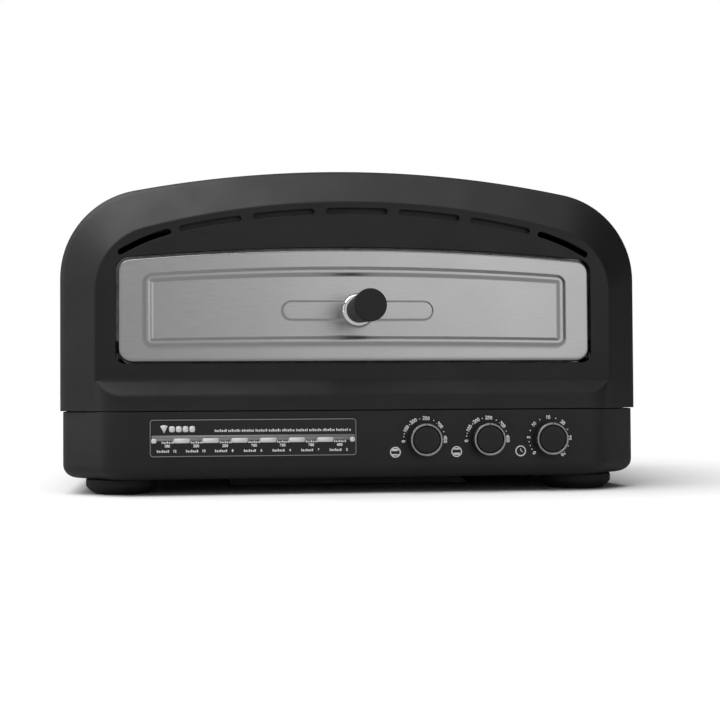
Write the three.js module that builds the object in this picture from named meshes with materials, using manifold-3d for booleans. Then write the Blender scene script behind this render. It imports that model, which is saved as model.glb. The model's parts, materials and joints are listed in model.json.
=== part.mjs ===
// Countertop pizza oven: arched hood with a bevelled front, drop-down door, three controls.
// Millimetres, +X right, +Y back, +Z up. The origin is on the worktop, at the middle of the object.
import * as THREE from 'three';
import * as BufferGeometryUtils from 'three/addons/utils/BufferGeometryUtils.js';
import Module from 'manifold-3d';

const wasm = await Module();
wasm.setup();

// ---- driving dimensions ----
const GAP = 0.3;                 // clearance between neighbouring pieces
const TIP_Y = 242;               // half of the overall depth, handle tip to cord gland
const FRONT_Y = -174;            // flat front of the base and chin
const FASCIA_Y = FRONT_Y + 12;   // recessed flat panel around the door
const BODY_END_Y = FRONT_Y + 400;

const HOOD_HALF = 253.8;         // half width over the sides
const CROWN_Z = 280.4;           // top of the arch
const CROWN_R = 990;             // radius of the arch
const SHOULDER_R = 78;           // radius where the arch meets the sides
const BASE_HALF = 251.6;
const BASE_Z = 13.5;             // underside of the base
const SEAM_Z = 71;               // joint between base and hood
const SHEET = 1.5;               // wall of the hood, bezel and base
const BEZEL_DEPTH = 50;          // front bezel, front to back
const BAND = 28;                 // width and depth of the bevelled band

const PANEL_HALF = 222;          // fascia outline
const PANEL_TOP_Z = 249.8;
const PANEL_R = 700;
const PANEL_CORNER_R = 55;
const SLOT_BELOW_EDGE = 8;       // vent slots below the fascia's edge
const LEDGE_TOP_Z = 97;          // sloped ledge below the fascia
const LEDGE_LOW_Z = 84;

const DOOR_HALF = 202.5;
const DOOR_LOW_Z = 112;
const DOOR_TOP_Z = 207.8;
const DOOR_ARCH_R = 2100;
const DOOR_FACE_Y = FASCIA_Y - 1.5;
const DOOR_BACK_Y = DOOR_FACE_Y + 13;
const DOOR_GAP = 2.5;            // clearance round the door, less at its foot
const DOOR_FOOT_GAP = 0.7;
const HINGE_Y = DOOR_FACE_Y + 4.5;
const HINGE_Z = DOOR_LOW_Z + 4.5;
const HANDLE_Z = 156;
const HANDLE_R = 13.3;
const HANDLE_FOOT_R = 11;            // the grip narrows towards the door
const COLLAR_R = 14.8;

const FRAME_Y = DOOR_BACK_Y + 2.5;   // front plate of the oven chamber
const CHAMBER_HALF = 187;
const CHAMBER_LOW_Z = 98;
const CHAMBER_TOP_Z = 206;
const CHAMBER_END_Y = 184;
const PLATE = 1.2;                   // wall of the chamber
const STONE_R = 160;
const STONE_Z = 117;                 // underside of the stone
const STONE_THICK = 12;
const STONE_Y = 19;

const KNOB_X = [55, 109.4, 163.8];
const KNOB_Z = 45.7;
const KNOB_R = 14.2;
const KNOB_REACH = 12.5;
const CONTROL_NAMES = ['upper_heat', 'lower_heat', 'timer'];

const FOOT_X = 201.5;
const FOOT_FRONT_Y = FRONT_Y + 52;
const FOOT_REAR_Y = BODY_END_Y - 60;
const FOOT_R = 31;

// ---- materials ----
const metal = (color, roughness, metalness = 0) => new THREE.MeshStandardMaterial(
  { color, roughness, metalness });
const BLACK_PAINT = () => metal(0x2b2b2b, 0.55, 0.2);
const SATIN_STEEL = () => metal(0xb4b4b2, 0.35, 1);
const PLATED_STEEL = () => metal(0x9a9c9c, 0.45, 1);
const CHROME = () => metal(0xd8d8d8, 0.12, 1);
const BLACK_PLASTIC = () => metal(0x1d1d1e, 0.45);
const RUBBER = () => metal(0x17171a, 0.9);
const STONE = () => metal(0xc9b592, 0.95);
const WOOL = () => metal(0xd9d4c6, 1);
const WHITE_PLASTIC = () => metal(0xe4e2dc, 0.5);
const HEATER = () => metal(0x5b5f58, 0.5, 0.8);

// ---- solids ----
function solidOf(geometry, place) {
  const merged = geometry.clone();
  if (place) merged.applyMatrix4(place);
  for (const name of Object.keys(merged.attributes)) {
    if (name !== 'position') merged.deleteAttribute(name);
  }
  const clean = BufferGeometryUtils.mergeVertices(merged, 1e-4);
  const vertProperties = Float32Array.from(clean.attributes.position.array);
  const triVerts = Uint32Array.from(clean.index.array);
  return new wasm.Manifold(new wasm.Mesh({ numProp: 3, vertProperties, triVerts }));
}

function geometryOf(solid) {
  const mesh = solid.getMesh();
  const geometry = new THREE.BufferGeometry();
  geometry.setAttribute('position', new THREE.BufferAttribute(Float32Array.from(mesh.vertProperties), 3));
  geometry.setIndex(new THREE.BufferAttribute(Uint32Array.from(mesh.triVerts), 1));
  geometry.computeVertexNormals();
  return geometry;
}

const at = (x, y, z) => new THREE.Matrix4().makeTranslation(x, y, z);
const turnX = (angle) => new THREE.Matrix4().makeRotationX(angle);

// A box between two corners.
function box(x0, x1, y0, y1, z0, z1) {
  const geometry = new THREE.BoxGeometry(x1 - x0, y1 - y0, z1 - z0);
  return solidOf(geometry, at((x0 + x1) / 2, (y0 + y1) / 2, (z0 + z1) / 2));
}

// A cylinder along Y from y0 to y1.
function rodY(x, y0, y1, z, radius, sides) {
  const geometry = new THREE.CylinderGeometry(radius, radius, y1 - y0, sides);
  return solidOf(geometry, at(x, (y0 + y1) / 2, z));
}

function rodX(x0, x1, y, z, radius, sides) {
  const geometry = new THREE.CylinderGeometry(radius, radius, x1 - x0, sides);
  return solidOf(geometry.rotateZ(Math.PI / 2), at((x0 + x1) / 2, y, z));
}

// A flat shape drawn in X and Z, as a plate from y0 back to y1.
function plateY(shape, y0, y1, curveSegments = 8) {
  const geometry = new THREE.ExtrudeGeometry(shape, { depth: y1 - y0, bevelEnabled: false, curveSegments });
  return solidOf(geometry, new THREE.Matrix4().multiplyMatrices(at(0, y1, 0), turnX(Math.PI / 2)));
}

// A flat shape drawn in Y and Z, as a plate from x0 to x1.
function plateX(points, x0, x1) {
  const shape = new THREE.Shape(points.map(([y, z]) => new THREE.Vector2(y, z)));
  const geometry = new THREE.ExtrudeGeometry(shape, { depth: x1 - x0, bevelEnabled: false });
  const turn = new THREE.Matrix4().makeBasis(
    new THREE.Vector3(0, 1, 0), new THREE.Vector3(0, 0, 1), new THREE.Vector3(1, 0, 0));
  return solidOf(geometry, new THREE.Matrix4().multiplyMatrices(at(x0, 0, 0), turn));
}

// A closed skin over rings of equal length, capped at both ends.
function loft(rings) {
  const count = rings[0].length;
  const points = rings.flat();
  const index = [];
  for (let ring = 0; ring + 1 < rings.length; ring += 1) {
    for (let i = 0; i < count; i += 1) {
      const a = ring * count + i;
      const b = ring * count + (i + 1) % count;
      index.push(a, b, b + count, a, b + count, a + count);
    }
  }
  const flat = rings[0].map((point) => new THREE.Vector2(point.x, point.z));
  const last = (rings.length - 1) * count;
  const clockwise = THREE.ShapeUtils.isClockWise(flat);
  for (const triangle of THREE.ShapeUtils.triangulateShape(flat, [])) {
    const turned = THREE.ShapeUtils.isClockWise(triangle.map((i) => flat[i])) !== clockwise;
    const [a, b, c] = turned ? [triangle[0], triangle[2], triangle[1]] : triangle;
    index.push(a, c, b, last + a, last + b, last + c);
  }
  return solidOf(outward(points, index));
}

// A geometry from points and triangles, turned inside out if its faces point inward.
function outward(points, index) {
  let volume = 0;
  for (let i = 0; i < index.length; i += 3) {
    const [a, b, c] = [0, 1, 2].map((k) => points[index[i + k]]);
    volume += a.dot(new THREE.Vector3().crossVectors(b, c));
  }
  const order = volume > 0 ? index : index.toReversed();
  const geometry = new THREE.BufferGeometry();
  const places = points.flatMap((p) => [p.x, p.y, p.z]);
  geometry.setAttribute('position', new THREE.Float32BufferAttribute(places, 3));
  geometry.setIndex(order);
  return geometry;
}

// Half of an arched outline, from the crown down to lowZ: a wide arc, a corner arc, an upright side.
function archedOutline(half, crownZ, crownR, cornerR, lowZ, y) {
  const arcCentreZ = crownZ - crownR;
  const cornerX = half - cornerR;
  const reach = crownR - cornerR;
  const cornerZ = arcCentreZ + Math.sqrt(reach * reach - cornerX * cornerX);
  const meet = Math.atan2(cornerX, cornerZ - arcCentreZ);
  const right = [];
  const ARCH_STEPS = 8;
  const CORNER_STEPS = 7;
  for (let i = 1; i <= ARCH_STEPS; i += 1) {
    const angle = meet * i / ARCH_STEPS;
    right.push([crownR * Math.sin(angle), arcCentreZ + crownR * Math.cos(angle)]);
  }
  for (let i = 1; i <= CORNER_STEPS; i += 1) {
    const angle = meet + (Math.PI / 2 - meet) * i / CORNER_STEPS;
    right.push([cornerX + cornerR * Math.sin(angle), cornerZ + cornerR * Math.cos(angle)]);
  }
  right.push([half, lowZ]);
  const left = right.map(([x, z]) => [-x, z]).reverse();
  return [[0, crownZ], ...right, ...left].map(([x, z]) => new THREE.Vector3(x, y, z));
}

const hoodRing = (inset, y, lowZ = SEAM_Z + GAP) => archedOutline(
  HOOD_HALF - inset, CROWN_Z - inset, CROWN_R - inset, SHOULDER_R - inset, lowZ, y);
const panelRing = (inset, y, lowZ = SEAM_Z + GAP) => archedOutline(
  PANEL_HALF - inset, PANEL_TOP_Z - inset, PANEL_R - inset, PANEL_CORNER_R - inset, lowZ, y);

function roundedShape(x0, x1, z0, z1, radius) {
  const shape = new THREE.Shape();
  shape.moveTo(x0 + radius, z0);
  shape.lineTo(x1 - radius, z0);
  shape.absarc(x1 - radius, z0 + radius, radius, -Math.PI / 2, 0, false);
  shape.lineTo(x1, z1 - radius);
  shape.absarc(x1 - radius, z1 - radius, radius, 0, Math.PI / 2, false);
  shape.lineTo(x0 + radius, z1);
  shape.absarc(x0 + radius, z1 - radius, radius, Math.PI / 2, Math.PI, false);
  shape.lineTo(x0, z0 + radius);
  shape.absarc(x0 + radius, z0 + radius, radius, Math.PI, Math.PI * 1.5, false);
  return shape;
}

// Door outline: straight foot and sides, gently arched top, grown outward by grow.
function doorShape(grow, lowGrow = grow) {
  const half = DOOR_HALF + grow;
  const low = DOOR_LOW_Z - lowGrow;
  const lowR = 12 + lowGrow;
  const topR = 9 + grow;
  const arcCentreZ = DOOR_TOP_Z - DOOR_ARCH_R;
  const radius = DOOR_ARCH_R + grow;
  const archEnd = Math.asin((half - topR) / radius);
  const sideTop = arcCentreZ + Math.sqrt(radius * radius - (half - topR) ** 2) - topR;
  const shape = new THREE.Shape();
  shape.moveTo(-half + lowR, low);
  shape.lineTo(half - lowR, low);
  shape.absarc(half - lowR, low + lowR, lowR, -Math.PI / 2, 0, false);
  shape.lineTo(half, sideTop);
  shape.absarc(half - topR, sideTop, topR, 0, Math.PI / 2 - archEnd, false);
  shape.absarc(0, arcCentreZ, radius, Math.PI / 2 - archEnd, Math.PI / 2 + archEnd, false);
  shape.absarc(-half + topR, sideTop, topR, Math.PI / 2 + archEnd, Math.PI, false);
  shape.lineTo(-half, low + lowR);
  shape.absarc(-half + lowR, low + lowR, lowR, Math.PI, Math.PI * 1.5, false);
  return shape;
}

const root = new THREE.Group();

function add(name, solid, material) {
  const mesh = new THREE.Mesh(geometryOf(solid), material());
  mesh.name = name;
  root.add(mesh);
}

const sides = [['left', -1], ['right', 1]];

// ---- casing ----
// Front rings of the casing: flat face, rounded corner, 45 degree band, then the full outline.
const BAND_CORNER_R = 28;
function frontSetbacks() {
  const run = BAND_CORNER_R * Math.tan(Math.PI / 8);
  const list = [];
  const STEPS = 4;
  for (let i = 0; i <= STEPS; i += 1) {
    const angle = Math.PI / 4 * i / STEPS;
    const along = BAND_CORNER_R * Math.sin(angle) - run;
    list.push([BAND_CORNER_R * (1 - Math.cos(angle)), along]);
  }
  return list;
}

// Cutter for one vent slot; the two end slots are shorter, sit further in and lean more.
function slotCutter(index, count) {
  const SLOT_LENGTH = 53;
  const SLOT_PITCH = 0.0912;     // radians along the fascia arc
  const SLOT_HEIGHT = 5;
  const END_SHORTER = 5;
  const END_SHIFT = 5.5;
  const END_DROP = 0.7;
  const END_LEAN = 0.135;
  const step = index - (count - 1) / 2;
  const outer = Math.max(0, Math.abs(step) - 2);
  const angle = step * SLOT_PITCH;
  const radius = PANEL_R - SLOT_BELOW_EDGE;
  const half = (SLOT_LENGTH - outer * END_SHORTER) / 2;
  const halfHeight = SLOT_HEIGHT / 2;
  const shape = roundedShape(-half, half, -halfHeight, halfHeight, halfHeight - 0.01);
  const tilt = angle + Math.sign(angle) * outer * END_LEAN;
  const centreX = radius * Math.sin(angle) - Math.sign(step) * outer * END_SHIFT;
  const centreZ = PANEL_TOP_Z - PANEL_R + radius * Math.cos(angle) - outer * END_DROP;
  const slot = plateY(shape, -20, 20, 4).rotate([0, tilt * 180 / Math.PI, 0]);
  return slot.translate([centreX, FASCIA_Y, centreZ]);
}

// A curved strip set back behind the middle vent slots, so that steam turns before it leaves.
function ventBaffle() {
  const HALF_ANGLE = 0.228;
  const front = FASCIA_Y + SHEET + 4.5;
  const centreZ = PANEL_TOP_Z - PANEL_R;
  const shape = new THREE.Shape();
  shape.absarc(0, centreZ, PANEL_R - 3, Math.PI / 2 - HALF_ANGLE, Math.PI / 2 + HALF_ANGLE, false);
  shape.absarc(0, centreZ, PANEL_R - 20, Math.PI / 2 + HALF_ANGLE, Math.PI / 2 - HALF_ANGLE, true);
  return plateY(shape, front, front + 1, 16);
}

// The pressed front as one hollow sheet: chin, sloped ledge, fascia and the bevelled band round it.
function frontSheet() {
  const EDGE = 1.4;              // softening where the band meets the hood
  const BELOW = SEAM_Z - 5;
  const bandEnd = FASCIA_Y + BAND;
  const outer = [];
  const inner = [];
  for (const [depth, along] of frontSetbacks()) {
    const inset = FASCIA_Y - FRONT_Y - along;
    outer.push(panelRing(inset, FRONT_Y + depth));
    inner.push(panelRing(inset + SHEET, FRONT_Y + depth + SHEET, BELOW));
  }
  outer.push(panelRing(0, FASCIA_Y), hoodRing(EDGE, bandEnd - 2.5), hoodRing(0, bandEnd + 1));
  outer.push(hoodRing(0, FRONT_Y + BEZEL_DEPTH));
  inner.push(panelRing(SHEET, FASCIA_Y + SHEET, BELOW), hoodRing(EDGE + SHEET, bandEnd - 1.5, BELOW));
  inner.push(hoodRing(SHEET, bandEnd + 2, BELOW), hoodRing(SHEET, FRONT_Y + BEZEL_DEPTH + 5, BELOW));
  const above = CROWN_Z + 20;
  const wide = HOOD_HALF + 10;
  const recess = plateX([
    [FRONT_Y - 10, LEDGE_LOW_Z], [FRONT_Y, LEDGE_LOW_Z], [FASCIA_Y, LEDGE_TOP_Z],
    [FASCIA_Y, above], [FRONT_Y - 10, above]], -wide, wide);
  const hollowFront = plateX([
    [FRONT_Y - 10, LEDGE_LOW_Z - SHEET], [FRONT_Y + SHEET, LEDGE_LOW_Z - SHEET],
    [FASCIA_Y + SHEET, LEDGE_TOP_Z - 1], [FASCIA_Y + SHEET, above], [FRONT_Y - 10, above]], -wide, wide);
  return loft(outer).subtract(recess).subtract(loft(inner).subtract(hollowFront));
}

// Everything of the front at or above a height, or below it.
function frontHalf(lowZ, highZ) {
  const wide = HOOD_HALF + 10;
  return frontSheet().intersect(box(-wide, wide, FRONT_Y - 10, FRONT_Y + BEZEL_DEPTH + 10, lowZ, highZ));
}

function frontBezel() {
  const cutFront = FASCIA_Y - 5;
  const cutBack = FASCIA_Y + 12;
  let bezel = frontHalf(LEDGE_TOP_Z + GAP / 2, CROWN_Z + 10);
  bezel = bezel.subtract(plateY(doorShape(DOOR_GAP, DOOR_FOOT_GAP), cutFront, cutBack, 5));
  for (const [, sign] of sides) {
    const notch = [sign * (DOOR_HALF - 7), sign * (DOOR_HALF + DOOR_GAP + 0.2)].sort((a, b) => a - b);
    bezel = bezel.subtract(box(...notch, cutFront, cutBack, DOOR_LOW_Z - DOOR_FOOT_GAP, HINGE_Z + 4.2));
  }
  const SLOTS = 7;
  for (let i = 0; i < SLOTS; i += 1) bezel = bezel.subtract(slotCutter(i, SLOTS));
  return bezel;
}

function hoodCover() {
  const start = FRONT_Y + BEZEL_DEPTH + GAP;
  const REAR_LIP = 9;            // width of the lip folded in round the rear panel
  const low = SEAM_Z - 5;
  const outer = loft([hoodRing(0, start), hoodRing(0, BODY_END_Y - 10), hoodRing(3, BODY_END_Y - 3),
    hoodRing(7, BODY_END_Y)]);
  const inner = loft([hoodRing(SHEET, start - 5, low), hoodRing(SHEET, BODY_END_Y - 11, low),
    hoodRing(REAR_LIP, BODY_END_Y - 4, low), hoodRing(REAR_LIP, BODY_END_Y + 5, low)]);
  return outer.subtract(inner);
}

// Plan outline of the base at a given inset from its widest line.
function basePlan(inset) {
  const points = [];
  const half = BASE_HALF - inset;
  const rear = BODY_END_Y - 4 - inset;
  const REAR_R = 14;
  const STEPS = 4;
  const bandCorner = PANEL_HALF - (FASCIA_Y - FRONT_Y) - inset;
  for (const [depth, along] of frontSetbacks()) points.push([bandCorner + along, FRONT_Y + depth + inset]);
  const bandEnd = FRONT_Y + (half - bandCorner) + inset;
  points.push([half - 1.2, bandEnd - 1.2], [half, bandEnd + 1.2]);
  for (let i = 0; i <= STEPS; i += 1) {
    const angle = Math.PI / 2 * i / STEPS;
    points.push([half - REAR_R + REAR_R * Math.cos(angle), rear - REAR_R + REAR_R * Math.sin(angle)]);
  }
  const mirrored = points.map(([x, y]) => [-x, y]).reverse();
  return [...points, ...mirrored];
}

// The base is a stack of level rings, lofted lying on its back and then stood up.
function baseBlock(levels) {
  const rings = levels.map(([inset, z]) => basePlan(inset).map(([x, y]) => new THREE.Vector3(x, z, -y)));
  return loft(rings).rotate([90, 0, 0]);
}

function baseHousing() {
  const EDGE_R = 12;
  const levels = [];
  const STEPS = 4;
  for (let i = 0; i <= STEPS; i += 1) {
    const angle = Math.PI / 2 * i / STEPS;
    levels.push([EDGE_R * (1 - Math.sin(angle)), BASE_Z + EDGE_R * (1 - Math.cos(angle))]);
  }
  levels.push([0, SEAM_Z - GAP]);
  const inner = [[SHEET + 6, BASE_Z + SHEET], [SHEET, BASE_Z + SHEET + 8], [SHEET, SEAM_Z + 5]];
  let base = baseBlock(levels).subtract(baseBlock(inner));
  for (const x of KNOB_X) base = base.subtract(rodY(x, FRONT_Y - 5, FRONT_Y + 8, KNOB_Z, 5, 16));
  for (const [, , x, y] of feet()) base = base.subtract(screwHole(x, y));
  const glandHole = rodY(GLAND_X, BODY_END_Y - 20, BODY_END_Y + 5, GLAND_Z, 8.3, 16);
  return base.subtract(glandHole);
}

const GLAND_X = 170;
const GLAND_Z = 42;

function feet() {
  const rows = [['front', FOOT_FRONT_Y], ['rear', FOOT_REAR_Y]];
  const list = [];
  for (const [row, y] of rows) {
    for (const [side, sign] of sides) list.push([row, side, sign * FOOT_X, y]);
  }
  return list;
}

function screwHole(x, y) {
  const geometry = new THREE.CylinderGeometry(2.8, 2.8, 20, 12).rotateX(Math.PI / 2);
  return solidOf(geometry, at(x, y, BASE_Z));
}

function foot(x, y) {
  const top = BASE_Z - GAP;
  const profile = [[3.2, 5], [8, 5], [8, 0], [22, 0], [25, 1], [FOOT_R, 7.5], [FOOT_R, top],
    [3.2, top], [3.2, 5]];
  const lathe = new THREE.LatheGeometry(profile.map(([r, z]) => new THREE.Vector2(r, z)), 28);
  return solidOf(lathe.rotateX(Math.PI / 2), at(x, y, 0));
}

function footScrew(x, y) {
  const profile = [[0, 1.8], [5, 1.8], [6, 2.6], [6, 4.7], [2.5, 4.7], [2.5, 24], [0, 24]];
  const lathe = new THREE.LatheGeometry(profile.map(([r, z]) => new THREE.Vector2(r, z)), 12);
  return solidOf(lathe.rotateX(Math.PI / 2), at(x, y, 0));
}

function rearPanel() {
  const face = BODY_END_Y - 7;
  const ring = (y) => hoodRing(9.6, y, SEAM_Z + 1);
  let panel = loft([ring(face), ring(face + PLATE)]);
  const SLOT_ROWS = 3;
  const SLOT_COLUMNS = 6;
  for (let row = 0; row < SLOT_ROWS; row += 1) {
    for (let column = 0; column < SLOT_COLUMNS; column += 1) {
      const x = (column - (SLOT_COLUMNS - 1) / 2) * 52;
      const z = 205 - row * 14;
      const slot = plateY(roundedShape(x - 20, x + 20, z - 2.5, z + 2.5, 2), face - 5, face + 8, 2);
      panel = panel.subtract(slot);
    }
  }
  return panel;
}

function bellyCowl() {
  const half = 105;
  const profile = new THREE.Shape([
    new THREE.Vector2(-half, 1.5), new THREE.Vector2(half + 12, 1.5),
    new THREE.Vector2(half - 8, BASE_Z - GAP), new THREE.Vector2(-half, BASE_Z - GAP)]);
  return plateY(profile, -60, 110);
}

function sideVent(sign) {
  const outer = HOOD_HALF + GAP;
  const x0 = sign > 0 ? outer : -outer - 1.2;
  let plate = plateX([[95, 80], [205, 80], [205, 146], [199, 152], [101, 152], [95, 146]], x0, x0 + 1.2);
  const SLOTS = 5;
  for (let i = 0; i < SLOTS; i += 1) {
    const z = 92 + i * 12;
    plate = plate.subtract(box(x0 - 2, x0 + 3, 107, 193, z - 2, z + 2));
  }
  return plate;
}

function casing() {
  add('front_bezel', frontBezel(), BLACK_PAINT);
  add('chin_panel', frontHalf(SEAM_Z, LEDGE_TOP_Z - GAP / 2), BLACK_PAINT);
  add('vent_baffle', ventBaffle(), BLACK_PAINT);
  add('hood_cover', hoodCover(), BLACK_PAINT);
  add('base_housing', baseHousing(), BLACK_PAINT);
  add('rear_panel', rearPanel(), BLACK_PAINT);
  add('belly_cowl', bellyCowl(), BLACK_PLASTIC);
  for (const [side, sign] of sides) add(`side_vent_${side}`, sideVent(sign), BLACK_PAINT);
  for (const [row, side, x, y] of feet()) {
    add(`foot_${row}_${side}`, foot(x, y), RUBBER);
    add(`foot_screw_${row}_${side}`, footScrew(x, y), PLATED_STEEL);
  }
  const plate = roundedShape(-176.8, -3.2, 32.8, 64.4, 3);
  add('settings_plate', plateY(plate, FRONT_Y - GAP - 0.6, FRONT_Y - GAP, 4), BLACK_PLASTIC);
  add('cord_gland', cordGland(), RUBBER);
  add('terminal_block', box(GLAND_X - 24, GLAND_X + 24, 150, 172, BASE_Z + SHEET + GAP, 40), WHITE_PLASTIC);
}

// The bush of the power inlet: neck through the housing wall, collar and tapered nose behind it.
function cordGland() {
  const wall = BODY_END_Y - 4;
  const profile = [[0, wall - 10], [10.5, wall - 10], [10.5, wall - SHEET - GAP], [7.8, wall - SHEET - GAP],
    [7.8, wall + GAP], [11, wall + GAP], [11, wall + 4], [7.5, wall + 5], [6, TIP_Y], [3.4, TIP_Y],
    [3.4, wall + 8], [0, wall + 8]];
  const lathe = new THREE.LatheGeometry(profile.map(([r, y]) => new THREE.Vector2(r, y)), 20);
  return solidOf(lathe, at(GLAND_X, 0, GLAND_Z));
}

// ---- oven chamber ----
function chamberFrame() {
  const outline = roundedShape(-216, 216, 104, 212, 44);
  const opening = box(-184, 184, FRAME_Y - 5, FRAME_Y + 8, 121, 196);
  const plate = plateY(outline, FRAME_Y, FRAME_Y + PLATE, 5);
  return plate.subtract(opening);
}

const HEATER_R = 3.3;
const HEATER_HALF = 165;
const HEATER_FRONT_Y = -105;
const HEATER_REAR_Y = 150;
const LOWER_HEATER_Z = 107;
const UPPER_HEATER_Z = 195;

// A level serpentine tube with an even number of runs; its terminal leaves at the rear right.
function heater(z) {
  const path = new THREE.CurvePath();
  const runs = 6;
  const half = HEATER_HALF;
  const pitch = (HEATER_REAR_Y - HEATER_FRONT_Y) / (runs - 1);
  const bend = pitch / 2;
  const v = (x, y) => new THREE.Vector3(x, y, z);
  const TERMINAL = 30;
  path.add(new THREE.LineCurve3(v(half + TERMINAL, HEATER_REAR_Y), v(half - bend, HEATER_REAR_Y)));
  for (let i = 0; i < runs; i += 1) {
    const y = HEATER_REAR_Y - i * pitch;
    const from = i % 2 ? -1 : 1;
    path.add(new THREE.LineCurve3(v(from * (half - bend), y), v(-from * (half - bend), y)));
    if (i + 1 < runs) {
      const x = -from * (half - bend);
      const out = -from * bend * 4 / 3;
      path.add(new THREE.CubicBezierCurve3(v(x, y), v(x + out, y), v(x + out, y - pitch), v(x, y - pitch)));
    }
  }
  path.add(new THREE.LineCurve3(v(half - bend, HEATER_FRONT_Y), v(half - bend * 0.2, HEATER_FRONT_Y)));
  const section = new THREE.Shape();
  section.absarc(0, 0, HEATER_R, 0, Math.PI * 2, false);
  return solidOf(sweep(path, section));
}

function sweep(path, section) {
  const points = [];
  for (const curve of path.curves) {
    const steps = curve.isLineCurve3 ? 1 : 8;
    for (let i = 0; i < steps; i += 1) points.push(curve.getPoint(i / steps));
  }
  points.push(path.curves.at(-1).getPoint(1));
  const chain = new THREE.CurvePath();
  for (let i = 0; i + 1 < points.length; i += 1) {
    if (points[i].distanceTo(points[i + 1]) > 0.01) chain.add(new THREE.LineCurve3(points[i], points[i + 1]));
  }
  return frames(chain, section);
}

// Sections set square to the path at each of its corners, all lying level.
function frames(chain, section) {
  const ring = section.getSpacedPoints(8).slice(0, 8);
  const corners = chain.curves.map((curve) => curve.v1);
  corners.push(chain.curves.at(-1).v2);
  const up = new THREE.Vector3(0, 0, 1);
  const rings = corners.map((corner, i) => {
    const before = corners[Math.max(i - 1, 0)];
    const after = corners[Math.min(i + 1, corners.length - 1)];
    const along = after.clone().sub(before).normalize();
    const side = new THREE.Vector3().crossVectors(along, up).normalize();
    return ring.map((p) => corner.clone().addScaledVector(side, p.x).addScaledVector(up, p.y));
  });
  return tube(rings);
}

function tube(rings) {
  const count = rings[0].length;
  const index = [];
  for (let ring = 0; ring + 1 < rings.length; ring += 1) {
    for (let i = 0; i < count; i += 1) {
      const a = ring * count + i;
      const b = ring * count + (i + 1) % count;
      index.push(a, b, b + count, a, b + count, a + count);
    }
  }
  const last = (rings.length - 1) * count;
  for (let i = 1; i + 1 < count; i += 1) index.push(0, i + 1, i, last, last + i, last + i + 1);
  return outward(rings.flat(), index);
}

// A bar across the chamber that a heater rests on.
function heaterHolder(y, z0, z1) {
  return box(-CHAMBER_HALF + PLATE + GAP, CHAMBER_HALF - PLATE - GAP, y - 1, y + 1, z0, z1);
}

function chamber() {
  const start = FRAME_Y + PLATE + GAP;
  const outer = CHAMBER_HALF + PLATE;
  const roof = CHAMBER_TOP_Z + PLATE;
  add('chamber_front_frame', chamberFrame(), PLATED_STEEL);
  const floor = box(-outer, outer, start, CHAMBER_END_Y, CHAMBER_LOW_Z, CHAMBER_LOW_Z + PLATE);
  add('chamber_floor', floor, PLATED_STEEL);
  add('chamber_roof', box(-outer, outer, start, CHAMBER_END_Y, CHAMBER_TOP_Z, roof), PLATED_STEEL);
  for (const [side, sign] of sides) {
    const x0 = sign > 0 ? CHAMBER_HALF : -outer;
    let wall = box(x0, x0 + PLATE, start, CHAMBER_END_Y, CHAMBER_LOW_Z + PLATE + GAP, CHAMBER_TOP_Z - GAP);
    if (sign > 0) {
      for (const z of [LOWER_HEATER_Z, UPPER_HEATER_Z]) {
        wall = wall.subtract(rodX(outer - 20, outer + 20, HEATER_REAR_Y, z, HEATER_R + 1, 12));
      }
    }
    add(`chamber_side_${side}`, wall, PLATED_STEEL);
  }
  const back = CHAMBER_END_Y + GAP;
  add('chamber_back', box(-outer, outer, back, back + PLATE, CHAMBER_LOW_Z, roof), PLATED_STEEL);
  add('lower_element', heater(LOWER_HEATER_Z), HEATER);
  add('upper_element', heater(UPPER_HEATER_Z), HEATER);
  const lowRest = LOWER_HEATER_Z - HEATER_R - GAP;
  const highRest = UPPER_HEATER_Z - HEATER_R - GAP;
  add('lower_element_holder', heaterHolder(20, CHAMBER_LOW_Z + PLATE + GAP, lowRest), PLATED_STEEL);
  add('upper_element_holder', heaterHolder(20, highRest - 3, highRest), PLATED_STEEL);
  add('heat_reflector', box(-170, 170, start + 8, CHAMBER_END_Y - 8, 201, 202.2), PLATED_STEEL);
  for (const [side, sign] of sides) {
    const x0 = sign > 0 ? CHAMBER_HALF - 40 : -CHAMBER_HALF + GAP;
    const x1 = sign > 0 ? CHAMBER_HALF - GAP : -CHAMBER_HALF + 40;
    const rail = box(x0, x1, start + 6, CHAMBER_END_Y - 6, STONE_Z - 2.5, STONE_Z - GAP);
    add(`stone_rail_${side}`, rail, PLATED_STEEL);
  }
  const stoneProfile = [[0, 0], [STONE_R - 2, 0], [STONE_R, 2], [STONE_R, STONE_THICK - 2],
    [STONE_R - 2, STONE_THICK], [0, STONE_THICK]];
  const stone = new THREE.LatheGeometry(stoneProfile.map(([r, z]) => new THREE.Vector2(r, z)), 40);
  add('pizza_stone', solidOf(stone.rotateX(Math.PI / 2), at(0, STONE_Y, STONE_Z)), STONE);
  add('insulation_blanket', box(-175, 175, -100, 175, roof + GAP, 222), WOOL);
  const LEG_X = 152;
  for (const [side, sign] of sides) {
    const leg = box(sign * LEG_X - 1, sign * LEG_X + 1, -60, 120, BASE_Z + SHEET + GAP, CHAMBER_LOW_Z - GAP);
    add(`chamber_leg_${side}`, leg, PLATED_STEEL);
  }
  const cutout = rodY(-120, CHAMBER_END_Y + PLATE + GAP * 2, CHAMBER_END_Y + 14, 160, 8, 16);
  add('safety_cutout', cutout, BLACK_PLASTIC);
}

// ---- door ----
function ringPlate(outer, inner, y0, y1) {
  return plateY(outer, y0, y1, 4).subtract(plateY(inner, y0 - 5, y1 + 5, 4));
}

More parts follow.
